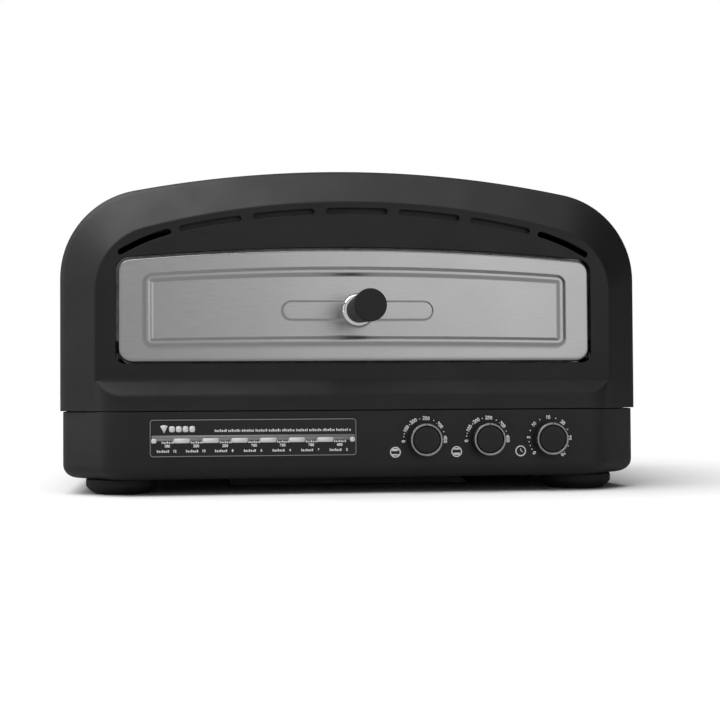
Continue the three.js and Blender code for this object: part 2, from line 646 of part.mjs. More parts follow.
// Strip that rounds the lower front edge of the door about the hinge line.
function rolledEdge(solid) {
  const R = 4;
  const wide = DOOR_HALF + 5;
  const corner = box(-wide, wide, DOOR_FACE_Y - 1, DOOR_FACE_Y + R, DOOR_LOW_Z - 1, DOOR_LOW_Z + R);
  const roll = rodX(-wide - 3, wide + 3, DOOR_FACE_Y + R, DOOR_LOW_Z + R, R, 24);
  return solid.subtract(corner.subtract(roll));
}

function doorSkin() {
  const WALL = 1.5;
  let skin = plateY(doorShape(0), DOOR_FACE_Y, DOOR_BACK_Y - 3, 5);
  skin = skin.subtract(plateY(doorShape(-WALL), DOOR_FACE_Y + WALL, DOOR_BACK_Y + 5, 5));
  const border = ringPlate(
    roundedShape(-182.5, 182.5, 126, 190, 7), roundedShape(-173.8, 173.8, 133.5, 182.5, 4),
    DOOR_FACE_Y - 3, DOOR_FACE_Y + 0.5);
  const pad = plateY(roundedShape(-65.5, 65.5, 147.5, 164.5, 8.4), DOOR_FACE_Y - 1, DOOR_FACE_Y + 0.5, 5);
  skin = skin.add(border).add(pad);
  skin = skin.subtract(rodY(0, DOOR_FACE_Y - 5, DOOR_FACE_Y + 5, HANDLE_Z, 3, 12));
  for (const [, sign] of sides) {
    const x = sign * DOOR_HALF;
    skin = skin.subtract(rodX(x - 11, x + 11, HINGE_Y, HINGE_Z, 2.0, 12));
  }
  return rolledEdge(skin);
}

function doorLiner() {
  const WALL = 1.2;
  const front = DOOR_FACE_Y + 7.5;
  let liner = plateY(doorShape(-2.2), front, DOOR_BACK_Y, 5);
  liner = liner.subtract(plateY(doorShape(-2.2 - WALL), front - 5, DOOR_BACK_Y - WALL, 5));
  for (const [, sign] of sides) {
    const x = sign * (DOOR_HALF - 5);
    liner = liner.subtract(box(x - 8, x + 8, front - 2, HINGE_Y + 4, DOOR_LOW_Z - 2, HINGE_Z + 5));
  }
  return liner;
}

function hingePin(sign) {
  const inner = DOOR_HALF - 18;
  const outer = DOOR_HALF + 2.1;
  const pin = rodX(inner, outer, HINGE_Y, HINGE_Z, 1.6, 16);
  const head = rodX(inner - 1, inner + 6, HINGE_Y, HINGE_Z, 2.6, 16);
  const placed = pin.add(head);
  return sign > 0 ? placed : placed.mirror([1, 0, 0]);
}

function hingeBracket(sign) {
  const x0 = DOOR_HALF + 0.5;
  const lugBack = FRAME_Y - GAP;
  const nose = [[-3, -2], [-1.5, -3.4], [2, -3.4], [2, 3.4], [-1.5, 3.4], [-3, 2]];
  const outline = nose.map(([y, z]) => [HINGE_Y + y, HINGE_Z + z]);
  outline.splice(3, 0, [lugBack, HINGE_Z - 3.4], [lugBack, HINGE_Z + 6]);
  const lug = plateX(outline, x0, x0 + 1.5);
  const flange = box(x0, x0 + 11, lugBack - 1.5, lugBack, HINGE_Z - 3.4, HINGE_Z + 14);
  const hole = rodX(x0 - 5, x0 + 5, HINGE_Y, HINGE_Z, 1.66, 16);
  const bracket = lug.add(flange).subtract(hole);
  return sign > 0 ? bracket : bracket.mirror([1, 0, 0]);
}

function handleGrip() {
  const foot = DOOR_FACE_Y - 1 - 7;
  const profile = [[0, -TIP_Y], [HANDLE_R - 1.2, -TIP_Y], [HANDLE_R, -TIP_Y + 1.2], [HANDLE_FOOT_R, foot],
    [2.9, foot], [2.9, foot - 20], [0, foot - 20]];
  const lathe = new THREE.LatheGeometry(profile.map(([r, y]) => new THREE.Vector2(r, y)), 28);
  return solidOf(lathe, at(0, 0, HANDLE_Z));
}

function handleCollar() {
  const back = DOOR_FACE_Y - 1 - GAP;
  const front = DOOR_FACE_Y - 1 - 7 + GAP;
  const profile = [[3.2, back], [3.2, front], [COLLAR_R - 1.5, front], [COLLAR_R, front + 1.5],
    [COLLAR_R, back - 1], [COLLAR_R - 1, back], [3.2, back]];
  const lathe = new THREE.LatheGeometry(profile.map(([r, y]) => new THREE.Vector2(r, y)), 28);
  return solidOf(lathe, at(0, 0, HANDLE_Z));
}

function handleScrew() {
  const headFace = DOOR_FACE_Y + 1.5 + GAP;
  const tip = DOOR_FACE_Y - 24;
  const shank = rodY(0, tip, headFace + 1, HANDLE_Z, 2.5, 12);
  return shank.add(rodY(0, headFace, headFace + 3, HANDLE_Z, 5.5, 12));
}

function doorCatch() {
  return box(-9, 9, FRAME_Y - 6, FRAME_Y - GAP, DOOR_TOP_Z + 3.5, DOOR_TOP_Z + 9);
}

function door() {
  add('door_skin', doorSkin(), SATIN_STEEL);
  add('door_liner', doorLiner(), PLATED_STEEL);
  add('handle_grip', handleGrip(), BLACK_PLASTIC);
  add('handle_collar', handleCollar(), CHROME);
  add('handle_screw', handleScrew(), PLATED_STEEL);
  add('door_catch', doorCatch(), PLATED_STEEL);
  for (const [side, sign] of sides) {
    add(`hinge_pin_${side}`, hingePin(sign), PLATED_STEEL);
    add(`hinge_bracket_${side}`, hingeBracket(sign), PLATED_STEEL);
  }
}

// ---- controls ----
// Knob: cap with a stepped rim that its ring sits on, and a socket for the shaft.
function knob(x) {
  const back = FRONT_Y - 1;
  const front = FRONT_Y - KNOB_REACH;
  const profile = [[0, front], [10, front], [10, front + 2.2], [KNOB_R - 0.8, front + 2.2],
    [KNOB_R - 0.3, back], [3.25, back], [3.25, front + 5], [0, front + 5]];
  const lathe = new THREE.LatheGeometry(profile.map(([r, y]) => new THREE.Vector2(r, y)), 28);
  return solidOf(lathe, at(x, 0, KNOB_Z));
}

function knobRing(x) {
  const front = FRONT_Y - KNOB_REACH - 0.5;
  const back = FRONT_Y - KNOB_REACH + 1.9;
  const profile = [[10.3, back], [10.3, front + 0.6], [10.9, front], [12.9, front], [13.5, front + 0.6],
    [13.5, back], [10.3, back]];
  const lathe = new THREE.LatheGeometry(profile.map(([r, y]) => new THREE.Vector2(r, y)), 28);
  return solidOf(lathe, at(x, 0, KNOB_Z));
}

function controls() {
  CONTROL_NAMES.forEach((name, i) => {
    const x = KNOB_X[i];
    const bodyFront = FRONT_Y + 6;
    add(`knob_${name}`, knob(x), BLACK_PLASTIC);
    add(`knob_ring_${name}`, knobRing(x), CHROME);
    const shaft = rodY(x, FRONT_Y - KNOB_REACH + 5 + GAP, bodyFront - GAP, KNOB_Z, 2.95, 12);
    add(`shaft_${name}`, shaft, PLATED_STEEL);
    const body = name === 'timer'
      ? rodY(x, bodyFront, bodyFront + 34, KNOB_Z, 21, 20)
      : box(x - 19, x + 19, bodyFront, bodyFront + 26, KNOB_Z - 20, KNOB_Z + 20);
    add(name === 'timer' ? 'timer_movement' : `thermostat_${name}`, body, WHITE_PLASTIC);
  });
}

casing();
chamber();
door();
controls();

export default root;
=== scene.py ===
"""Countertop pizza oven: detailed pieces, materials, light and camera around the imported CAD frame."""
import json
import math

import bmesh
import bpy
from mathutils import Matrix, Vector
from mathutils.geometry import tessellate_polygon


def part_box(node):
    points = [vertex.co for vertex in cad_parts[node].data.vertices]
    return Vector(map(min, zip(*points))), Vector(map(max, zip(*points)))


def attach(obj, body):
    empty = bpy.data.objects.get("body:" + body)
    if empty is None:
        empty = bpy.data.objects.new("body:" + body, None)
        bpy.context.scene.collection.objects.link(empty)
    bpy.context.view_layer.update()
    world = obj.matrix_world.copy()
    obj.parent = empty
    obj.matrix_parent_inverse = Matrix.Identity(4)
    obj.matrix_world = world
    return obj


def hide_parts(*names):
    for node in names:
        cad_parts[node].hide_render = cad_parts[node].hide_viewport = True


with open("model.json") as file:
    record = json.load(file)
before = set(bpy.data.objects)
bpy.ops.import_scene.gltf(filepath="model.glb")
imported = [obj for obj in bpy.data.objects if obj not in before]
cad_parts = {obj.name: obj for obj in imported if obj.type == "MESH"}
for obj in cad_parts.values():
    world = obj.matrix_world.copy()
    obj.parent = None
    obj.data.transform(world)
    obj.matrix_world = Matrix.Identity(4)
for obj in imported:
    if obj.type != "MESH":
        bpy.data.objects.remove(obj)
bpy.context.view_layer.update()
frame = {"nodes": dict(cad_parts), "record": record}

# ---- driving sizes, in metres, read from the frame where it has them ----
MM = 0.001
FRONT_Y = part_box("base_housing")[0].y
FASCIA_Y = FRONT_Y + 12 * MM
BEZEL_LOW_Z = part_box("chin_panel")[0].z
BEZEL_END_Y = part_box("front_bezel")[1].y
HOOD_START_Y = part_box("hood_cover")[0].y
BODY_END_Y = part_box("hood_cover")[1].y
HOOD_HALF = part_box("hood_cover")[1].x
CROWN_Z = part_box("hood_cover")[1].z
CROWN_R = 990 * MM
SHOULDER_R = 78 * MM
BASE_LOW_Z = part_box("base_housing")[0].z
BASE_TOP_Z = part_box("base_housing")[1].z
BASE_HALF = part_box("base_housing")[1].x
BASE_END_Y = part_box("base_housing")[1].y
PANEL_HALF = 222 * MM
PANEL_TOP_Z = 249.8 * MM
PANEL_R = 700 * MM
PANEL_CORNER_R = 55 * MM
BAND_END_Y = FASCIA_Y + 28 * MM
LEDGE_TOP_Z = 97 * MM
LEDGE_LOW_Z = 84 * MM
DOOR_LOW, DOOR_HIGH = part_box("door_skin")
DOOR_HALF = DOOR_HIGH.x
DOOR_LOW_Z = DOOR_LOW.z
DOOR_TOP_Z = DOOR_HIGH.z
DOOR_ARCH_R = 2100 * MM
DOOR_FACE_Y = FASCIA_Y - 1.5 * MM
HANDLE_LOW, HANDLE_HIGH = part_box("handle_grip")
HANDLE_Z = (HANDLE_LOW.z + HANDLE_HIGH.z) / 2
HANDLE_R = HANDLE_HIGH.x
HANDLE_FOOT_R = 11 * MM
KNOBS = ("upper_heat", "lower_heat", "timer")
BODY = "oven_body"


# ---- material nodes ----
def new_material(name, **settings):
    """A Principled material, with the constants set on the shader's own sockets."""
    material = bpy.data.materials.new(name)
    material.use_nodes = True
    shader = material.node_tree.nodes["Principled BSDF"]
    for socket, value in settings.items():
        shader.inputs[socket.replace("_", " ")].default_value = value
    return material, material.node_tree, shader


def node(tree, kind, inputs=None, **settings):
    made = tree.nodes.new(kind)
    for key, value in settings.items():
        setattr(made, key, value)
    for key, value in (inputs or {}).items():
        if isinstance(value, bpy.types.NodeSocket):
            tree.links.new(value, made.inputs[key])
        else:
            made.inputs[key].default_value = value
    return made


def position(tree, stretch=(1, 1, 1)):
    """Object coordinates, squeezed along chosen axes."""
    source = node(tree, "ShaderNodeTexCoord").outputs["Object"]
    return node(tree, "ShaderNodeMapping", {"Vector": source, "Scale": stretch}).outputs["Vector"]


def noise(tree, vector, scale, detail=3.0, roughness=0.55):
    inputs = {"Vector": vector, "Scale": scale, "Detail": detail, "Roughness": roughness}
    return node(tree, "ShaderNodeTexNoise", inputs).outputs["Fac"]


def ramp(tree, factor, stops, interpolation="LINEAR"):
    made = node(tree, "ShaderNodeValToRGB", {"Fac": factor})
    made.color_ramp.interpolation = interpolation
    while len(made.color_ramp.elements) < len(stops):
        made.color_ramp.elements.new(0.5)
    for element, (place, colour) in zip(made.color_ramp.elements, stops):
        element.position = place
        element.color = (*colour, 1)
    return made.outputs["Color"]


def spread(tree, factor, low, high):
    """factor, from 0.3 to 0.7, as a number from low to high."""
    inputs = {"Value": factor, "From Min": 0.3, "From Max": 0.7, "To Min": low, "To Max": high}
    return node(tree, "ShaderNodeMapRange", inputs).outputs["Result"]


def mix(tree, factor, first, second, blend="MIX"):
    made = node(tree, "ShaderNodeMix", data_type="RGBA", blend_type=blend)
    for index, value in ((0, factor), (6, first), (7, second)):
        if isinstance(value, bpy.types.NodeSocket):
            tree.links.new(value, made.inputs[index])
        elif index:
            made.inputs[index].default_value = (*value, 1)
        else:
            made.inputs[index].default_value = value
    return made.outputs[2]


def edge_mask(tree, low=0.51, high=0.56):
    """1 along convex edges, 0 elsewhere."""
    pointed = node(tree, "ShaderNodeNewGeometry").outputs["Pointiness"]
    inputs = {"Value": pointed, "From Min": low, "From Max": high}
    return node(tree, "ShaderNodeMapRange", inputs).outputs["Result"]


def bump(tree, height, strength, distance, normal=None):
    inputs = {"Height": height, "Strength": strength, "Distance": distance}
    if normal:
        inputs["Normal"] = normal
    return node(tree, "ShaderNodeBump", inputs).outputs["Normal"]


def link(tree, shader, **sockets):
    for socket, value in sockets.items():
        tree.links.new(value, shader.inputs[socket.replace("_", " ")])


def powder_coat():
    """Fine-grained matt black powder coat, with a painted highlight: a little paler along its convex edges.
    """
    material, tree, shader = new_material("black_powder_coat", Specular_IOR_Level=0.28)
    spot = position(tree)
    grain = noise(tree, spot, 1500, 2)
    peel = noise(tree, spot, 420, 2)
    cloud = noise(tree, spot, 9, 4)
    base = ramp(tree, cloud, [(0.3, (0.0070, 0.0070, 0.0072)), (0.7, (0.0092, 0.0092, 0.0094))])
    base = mix(tree, spread(tree, grain, 0.0, 0.35), base, (0.014, 0.014, 0.014))
    # painted highlight: convex edges are lightened in the base colour, standing in for light catching them
    edge_highlit_colour = mix(tree, edge_mask(tree), base, (0.019, 0.019, 0.019))
    rough = spread(tree, noise(tree, spot, 26, 5, 0.6), 0.5, 0.6)
    relief = bump(tree, grain, 0.22, 0.00010, bump(tree, peel, 0.16, 0.00022))
    link(tree, shader, Base_Color=edge_highlit_colour, Roughness=rough, Normal=relief)
    return material


def satin_steel():
    """Stainless sheet with a fine horizontal satin grain and faint handling clouds."""
    material, tree, shader = new_material("satin_stainless", Metallic=1.0, Anisotropic=0.25)
    grain = noise(tree, position(tree, (60, 1400, 1400)), 1, 3, 0.6)
    speck = noise(tree, position(tree), 1700, 2)
    cloud = noise(tree, position(tree), 14, 4)
    base = ramp(tree, grain, [(0.3, (0.285, 0.285, 0.285)), (0.7, (0.33, 0.33, 0.33))])
    base = mix(tree, spread(tree, speck, 0.0, 0.25), base, (0.38, 0.38, 0.38))
    rough = spread(tree, mix(tree, 0.5, cloud, grain), 0.27, 0.37)
    relief = bump(tree, grain, 0.10, 0.00004, bump(tree, speck, 0.10, 0.00004))
    link(tree, shader, Base_Color=base, Roughness=rough, Normal=relief)
    return material


def plated_steel():
    """Aluminised sheet: dull crystals in slightly different greys."""
    material, tree, shader = new_material("aluminised_steel", Metallic=1.0)
    spot = position(tree)
    crystals = node(tree, "ShaderNodeTexVoronoi", {"Vector": spot, "Scale": 260}).outputs["Color"]
    tone = node(tree, "ShaderNodeSeparateColor", {"Color": crystals}).outputs["Red"]
    base = ramp(tree, tone, [(0.0, (0.30, 0.305, 0.31)), (1.0, (0.42, 0.42, 0.415))])
    stain = noise(tree, spot, 22, 5, 0.65)
    base = mix(tree, spread(tree, stain, 0.0, 0.3), base, (0.27, 0.24, 0.20))
    rough = spread(tree, stain, 0.38, 0.56)
    link(tree, shader, Base_Color=base, Roughness=rough, Normal=bump(tree, tone, 0.08, 0.00006))
    return material


def chrome():
    """Bright plating with faint polishing swirls."""
    material, tree, shader = new_material("bright_plating", Metallic=1.0)
    haze = noise(tree, position(tree), 300, 4, 0.6)
    base = ramp(tree, haze, [(0.3, (0.70, 0.70, 0.695)), (0.7, (0.78, 0.78, 0.77))])
    rough = spread(tree, haze, 0.10, 0.18)
    relief = bump(tree, noise(tree, position(tree), 900, 2), 0.03, 0.00002)
    link(tree, shader, Base_Color=base, Roughness=rough, Normal=relief)
    return material


def ring_silver():
    """Satin silver ring metal with fine turning lines."""
    material, tree, shader = new_material("satin_silver", Metallic=1.0)
    grain = noise(tree, position(tree), 1200, 2)
    base = ramp(tree, grain, [(0.3, (0.23, 0.23, 0.23)), (0.7, (0.31, 0.31, 0.31))])
    link(tree, shader, Base_Color=base, Roughness=spread(tree, grain, 0.30, 0.42),
         Normal=bump(tree, grain, 0.06, 0.00003))
    return material


def moulded(name, low, high, rough_low, rough_high, grain_scale=1100.0, relief=0.12, level=0.36):
    """A moulded plastic or rubber with a spark-eroded grain and a soft bloom."""
    material, tree, shader = new_material(name, Specular_IOR_Level=level)
    spot = position(tree)
    grain = noise(tree, spot, grain_scale, 2)
    bloom = noise(tree, spot, 35, 4)
    base = ramp(tree, bloom, [(0.3, low), (0.7, high)])
    # painted highlight: convex edges are lightened to 1.7 times the pale tone, standing in for light catching
    # them
    edge_highlit_colour = mix(tree, edge_mask(tree, 0.52, 0.6), base, tuple(min(1, c * 1.7) for c in high))
    rough = spread(tree, bloom, rough_low, rough_high)
    link(tree, shader, Base_Color=edge_highlit_colour, Roughness=rough, Normal=bump(tree, grain, relief, 0.00008))
    return material


def cordierite():
    """Unglazed baking stone: sandy ground, dark and pale grit, small pores."""
    material, tree, shader = new_material("cordierite", Specular_IOR_Level=0.25)
    spot = position(tree)
    cloud = noise(tree, spot, 30, 5, 0.6)
    base = ramp(tree, cloud, [(0.3, (0.52, 0.40, 0.26)), (0.7, (0.66, 0.55, 0.39))])
    grit = noise(tree, spot, 900, 2)
    base = mix(tree, ramp(tree, grit, [(0.62, (0, 0, 0)), (0.68, (1, 1, 1))]), base, (0.24, 0.17, 0.11))
    base = mix(tree, ramp(tree, noise(tree, spot, 700, 2), [(0.63, (0, 0, 0)), (0.7, (1, 1, 1))]),
               base, (0.80, 0.74, 0.62))
    pores = node(tree, "ShaderNodeTexVoronoi", {"Vector": spot, "Scale": 330}).outputs["Distance"]
    relief = bump(tree, grit, 0.5, 0.0003, bump(tree, pores, 0.25, 0.0003))
    link(tree, shader, Base_Color=base, Roughness=spread(tree, cloud, 0.85, 0.97), Normal=relief)
    return material


def heater_sheath():
    """Oxidised heater tube, mottled green-brown and blue-grey."""
    material, tree, shader = new_material("oxidised_sheath", Metallic=0.85)
    spot = position(tree)
    patch = noise(tree, spot, 60, 5, 0.65)
    base = ramp(tree, patch, [(0.3, (0.075, 0.07, 0.055)), (0.55, (0.11, 0.115, 0.105)),
                              (0.75, (0.10, 0.075, 0.06))])
    relief = bump(tree, noise(tree, spot, 1000, 3), 0.2, 0.00008)
    link(tree, shader, Base_Color=base, Roughness=spread(tree, patch, 0.45, 0.65), Normal=relief)
    return material


def mineral_wool():
    material, tree, shader = new_material("mineral_wool", Sheen_Weight=0.3)
    fibres = noise(tree, position(tree, (1, 1, 6)), 500, 6, 0.75)
    base = ramp(tree, fibres, [(0.3, (0.50, 0.47, 0.38)), (0.7, (0.78, 0.75, 0.66))])
    link(tree, shader, Base_Color=base, Roughness=spread(tree, fibres, 0.9, 1.0),
         Normal=bump(tree, fibres, 0.7, 0.0008))
    return material


def printed(name, shade):
    """Screen-printed ink with a slightly uneven film."""
    material, tree, shader = new_material(name, Specular_IOR_Level=0.35)
    film = noise(tree, position(tree), 800, 3)
    base = ramp(tree, film, [(0.3, (shade * 0.86,) * 3), (0.7, (shade,) * 3)])
    link(tree, shader, Base_Color=base, Roughness=spread(tree, film, 0.45, 0.6))
    return material


BLACK = powder_coat()
SATIN = satin_steel()
PLATED = plated_steel()
CHROME = chrome()
SILVER = ring_silver()
PLASTIC = moulded("black_plastic", (0.0070, 0.0070, 0.0072), (0.0092, 0.0092, 0.0094), 0.42, 0.52,
                  level=0.26)
RUBBER = moulded("black_rubber", (0.008, 0.008, 0.0085), (0.013, 0.013, 0.013), 0.72, 0.86, 700.0, 0.3, 0.3)
WHITE = moulded("white_plastic", (0.55, 0.54, 0.50), (0.66, 0.65, 0.61), 0.4, 0.55)
STONE = cordierite()
HEATER = heater_sheath()
WOOL = mineral_wool()
INK = printed("pale_ink", 0.85)
DIM_INK = printed("grey_ink", 0.26)

SLOT_MATERIALS = {
    "black_paint": BLACK, "satin_steel": SATIN, "plated_steel": PLATED, "chrome": CHROME,
    "black_plastic": PLASTIC, "rubber": RUBBER, "stone": STONE, "wool": WOOL,
    "white_plastic": WHITE, "heater": HEATER,
}


# ---- mesh code ----
class Skin:
    """Collects points and faces, then welds them into one mesh."""

    def __init__(self):
        self.points = []
        self.faces = []

    def grid(self, rows, closed=False):
        """Quads between rows of equal length; closed joins each row's end to its start."""
        start = len(self.points)
        width = len(rows[0])
        for row in rows:
            self.points.extend(Vector(p) for p in row)
        for r in range(len(rows) - 1):
            for c in range(width if closed else width - 1):
                a = start + r * width + c
                b = start + r * width + (c + 1) % width
                self.faces.append((a, b, b + width, a + width))

    def face(self, ring):
        start = len(self.points)
        self.points.extend(Vector(p) for p in ring)
        self.faces.append(tuple(range(start, start + len(ring))))

    def filled(self, loops):
        """A flat region between an outer loop and its holes."""
        start = len(self.points)
        loops = [[Vector(p) for p in loop] for loop in loops]
        for loop in loops:
            self.points.extend(loop)
        for triangle in tessellate_polygon(loops):
            self.faces.append(tuple(start + i for i in triangle))

    def tube(self, path, radius, sides=12):
        """A capped round tube along a path that lies in a level plane."""
        up = Vector((0, 0, 1))
        rows = []
        for i, point in enumerate(path):
            along = (path[min(i + 1, len(path) - 1)] - path[max(i - 1, 0)]).normalized()
            side = along.cross(up).normalized()
            turns = [math.tau * k / sides for k in range(sides)]
            rows.append([point + radius * (side * math.cos(t) + up * math.sin(t)) for t in turns])
        self.grid(rows, closed=True)
        self.face(rows[0])
        self.face(rows[-1])

    def lathe(self, profile, centre, axis="Y", steps=64):
        """A body of revolution: profile is (radius, place along the axis)."""
        rows = []
        for radius, along in profile:
            row = []
            for k in range(steps):
                c, s = math.cos(math.tau * k / steps), math.sin(math.tau * k / steps)
                spot = {"Y": (radius * c, along, radius * s), "Z": (radius * c, radius * s, along),
                        "X": (along, radius * c, radius * s)}[axis]
                row.append(Vector(centre) + Vector(spot))
            rows.append(row)
        self.grid(rows, closed=True)

    def mesh(self, name, weld=4e-6):
        data = bpy.data.meshes.new(name)
        work = bmesh.new()
        made = [work.verts.new(p) for p in self.points]
        for face in self.faces:
            try:
                work.faces.new([made[i] for i in face])
            except ValueError:
                pass
        bmesh.ops.remove_doubles(work, verts=work.verts, dist=weld)
        bmesh.ops.dissolve_degenerate(work, edges=work.edges, dist=1e-7)
        bmesh.ops.recalc_face_normals(work, faces=work.faces)
        work.to_mesh(data)
        work.free()
        return data


def piece(name, skin, material, body=BODY, replaces=(), modifiers=(), weighted=True):
    """Makes the object, shades it smooth, ties it to its body and hides the nodes it stands for."""
    data = skin.mesh(name) if isinstance(skin, Skin) else skin
    made = bpy.data.objects.new(name, data)
    bpy.context.scene.collection.objects.link(made)
    data.materials.clear()
    data.materials.append(material)
    for polygon in data.polygons:
        polygon.use_smooth = True
    for kind, settings in modifiers:
        modifier = made.modifiers.new(kind.lower(), kind)
        for key, value in settings.items():
            setattr(modifier, key, value)
    if weighted:
        made.modifiers.new("normals", "WEIGHTED_NORMAL").keep_sharp = True
    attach(made, body)
    if replaces:
        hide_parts(*replaces)
    return made


def bevelled(width, segments=3, angle=0.6):
    return ("BEVEL", {"width": width, "segments": segments, "limit_method": "ANGLE", "angle_limit": angle,
                      "harden_normals": False})


def round_over(start, corner, end, steps=4):
    """Points of a smooth bend from start to end, tangent to both lines at corner."""
    start, corner, end = Vector(start), Vector(corner), Vector(end)
    bend = []
    for i in range(steps + 1):
        t = i / steps
        bend.append(start * (1 - t) ** 2 + corner * (2 * t * (1 - t)) + end * t ** 2)
    return bend


def toward(point, target, distance):
    point, target = Vector(point), Vector(target)
    return point + (target - point).normalized() * distance


ARCH_STEPS = 36
CORNER_STEPS = 22


def arch(half, crown, crown_r, corner_r, low):
    """(x, z) of an arched outline from the lower left, over the crown, to the lower right."""
    centre_z = crown - crown_r
    corner_x = half - corner_r
    reach = crown_r - corner_r
    corner_z = centre_z + math.sqrt(reach * reach - corner_x * corner_x)
    meet = math.atan2(corner_x, corner_z - centre_z)
    right = []
    for i in range(1, ARCH_STEPS + 1):
        turn = meet * i / ARCH_STEPS
        right.append((crown_r * math.sin(turn), centre_z + crown_r * math.cos(turn)))
    for i in range(1, CORNER_STEPS + 1):
        turn = meet + (math.pi / 2 - meet) * i / CORNER_STEPS
        right.append((corner_x + corner_r * math.sin(turn), corner_z + corner_r * math.cos(turn)))
    right.append((half, low))
    left = [(-x, z) for x, z in reversed(right)]
    return left + [(0, crown)] + right


def hood_arch(inset, low):
    return arch(HOOD_HALF - inset, CROWN_Z - inset, CROWN_R - inset, SHOULDER_R - inset, low)


def panel_arch(inset, low):
    return arch(PANEL_HALF - inset, PANEL_TOP_Z - inset, PANEL_R - inset, PANEL_CORNER_R - inset, low)


def stadium(length, height, grow, steps=8, along=8):
    """(x, z) of a level slot with round ends about the origin, with points along its straight sides."""
    radius = height / 2 + grow
    reach = length / 2 - height / 2
    outline = []
    for side in (1, -1):
        for i in range(steps + 1):
            turn = side * math.pi / 2 - math.pi * i / steps
            outline.append((side * reach + radius * math.cos(turn), radius * math.sin(turn)))
        for i in range(1, along):
            outline.append((side * (reach - 2 * reach * i / along), -side * radius))
    return outline


def rounded(x0, x1, z0, z1, radius, steps=6):
    """(x, z) of a rectangle with round corners, from the lower right, anticlockwise."""
    outline = []
    for cx, cz, start in ((x1 - radius, z0 + radius, -90), (x1 - radius, z1 - radius, 0),
                          (x0 + radius, z1 - radius, 90), (x0 + radius, z0 + radius, 180)):
        for i in range(steps + 1):
            turn = math.radians(start + 90 * i / steps)
            outline.append((cx + radius * math.cos(turn), cz + radius * math.sin(turn)))
    return outline


def door_outline(side, low_gap, top_gap, low_r, top_r, steps=8, arch_steps=40):
    """(x, z) round the door opening, grown by a gap at the sides, foot and top."""
    half = DOOR_HALF + side
    low = DOOR_LOW_Z - low_gap
    radius = DOOR_ARCH_R + top_gap
    centre_z = DOOR_TOP_Z - DOOR_ARCH_R
    end = math.asin((half - top_r) / radius)
    side_top = centre_z + math.sqrt(radius ** 2 - (half - top_r) ** 2) - top_r
    outline = []
    for i in range(steps + 1):
        turn = math.radians(-90 + 90 * i / steps)
        outline.append((half - low_r + low_r * math.cos(turn), low + low_r + low_r * math.sin(turn)))
    for i in range(steps + 1):
        turn = (math.pi / 2 - end) * i / steps
        outline.append((half - top_r + top_r * math.cos(turn), side_top + top_r * math.sin(turn)))
    for i in range(1, arch_steps):
        turn = math.pi / 2 - end + 2 * end * i / arch_steps
        outline.append((radius * math.cos(turn), centre_z + radius * math.sin(turn)))
    for i in range(steps + 1):
        turn = math.pi / 2 + end + (math.pi / 2 - end) * i / steps
        outline.append((-half + top_r + top_r * math.cos(turn), side_top + top_r * math.sin(turn)))
    for i in range(steps + 1):
        turn = math.radians(180 + 90 * i / steps)
        outline.append((-half + low_r + low_r * math.cos(turn), low + low_r + low_r * math.sin(turn)))
    return outline


def at_y(outline, y):
    return [Vector((x, y, z)) for x, z in outline]


# ---- front bezel ----
EDGE_R = 1.6 * MM
SEAM_R = 0.7 * MM
SLOT_COUNT = 7
SLOT_LENGTH = 53 * MM
SLOT_HEIGHT = 5 * MM
SLOT_BELOW_EDGE = 8 * MM
SLOT_PITCH = 0.0912      # radians along the fascia's arc
END_SHIFT = 5.5 * MM     # the two end slots: moved in, lowered, leaned, shortened and bent
END_DROP = 0.7 * MM
END_LEAN = 0.135
END_SHORTER = 5 * MM
END_BEND_R = 170 * MM


def fascia_slot(index, grow):
    """Outline of one vent slot; the two outer slots are shorter and bend down with the panel's corner."""
    step = index - (SLOT_COUNT - 1) / 2
    outer = max(0.0, abs(step) - 2)
    lean = SLOT_PITCH * step
    radius = PANEL_R - SLOT_BELOW_EDGE
    x = radius * math.sin(lean) - math.copysign(outer * END_SHIFT, step)
    z = PANEL_TOP_Z - PANEL_R + radius * math.cos(lean) - outer * END_DROP
    tilt = -(lean + math.copysign(outer * END_LEAN, lean))
    bend = 1 / radius if outer == 0 else 1 / END_BEND_R
    straight = stadium(SLOT_LENGTH - outer * END_SHORTER, SLOT_HEIGHT, grow)
    curved = [(x0, z0 - bend * x0 * x0 / 2) for x0, z0 in straight]
    c, s = math.cos(tilt), math.sin(tilt)
    return [(x + x0 * c - z0 * s, z + x0 * s + z0 * c) for x0, z0 in curved]


def rim(skin, outline_of, depth, radius=SEAM_R, steps=3):
    """Rounds the edge of a hole and runs its wall back; returns the loop that the panel stops at."""
    rows = []
    for i in range(steps + 1):
        turn = math.pi / 2 * i / steps
        y = FASCIA_Y + radius * (1 - math.cos(turn))
        rows.append(at_y(outline_of(radius * (1 - math.sin(turn))), y))
    rows.append(at_y(outline_of(0.0), FASCIA_Y + depth))
    rows.append(at_y(outline_of(1.5 * MM), FASCIA_Y + depth + 0.3 * MM))
    skin.grid(rows, closed=True)
    return rows[0]


def chin_plan():
    """(x, y) of the right half of the chin: flat front, rounded corner, bevel up to the panel's edge."""
    radius = 28 * MM
    run = radius * math.tan(math.pi / 8)
    corner_x = PANEL_HALF - 12 * MM
    plan = [((corner_x - run) * i / 6, FRONT_Y) for i in range(6)]
    for i in range(9):
        turn = math.pi / 4 * i / 8
        plan.append((corner_x - run + radius * math.sin(turn), FRONT_Y + radius * (1 - math.cos(turn))))
    plan.append((PANEL_HALF - 1 * MM, FASCIA_Y - 1 * MM))
    return plan


def mirrored(points):
    return [Vector((-p.x, p.y, p.z)) for p in points]


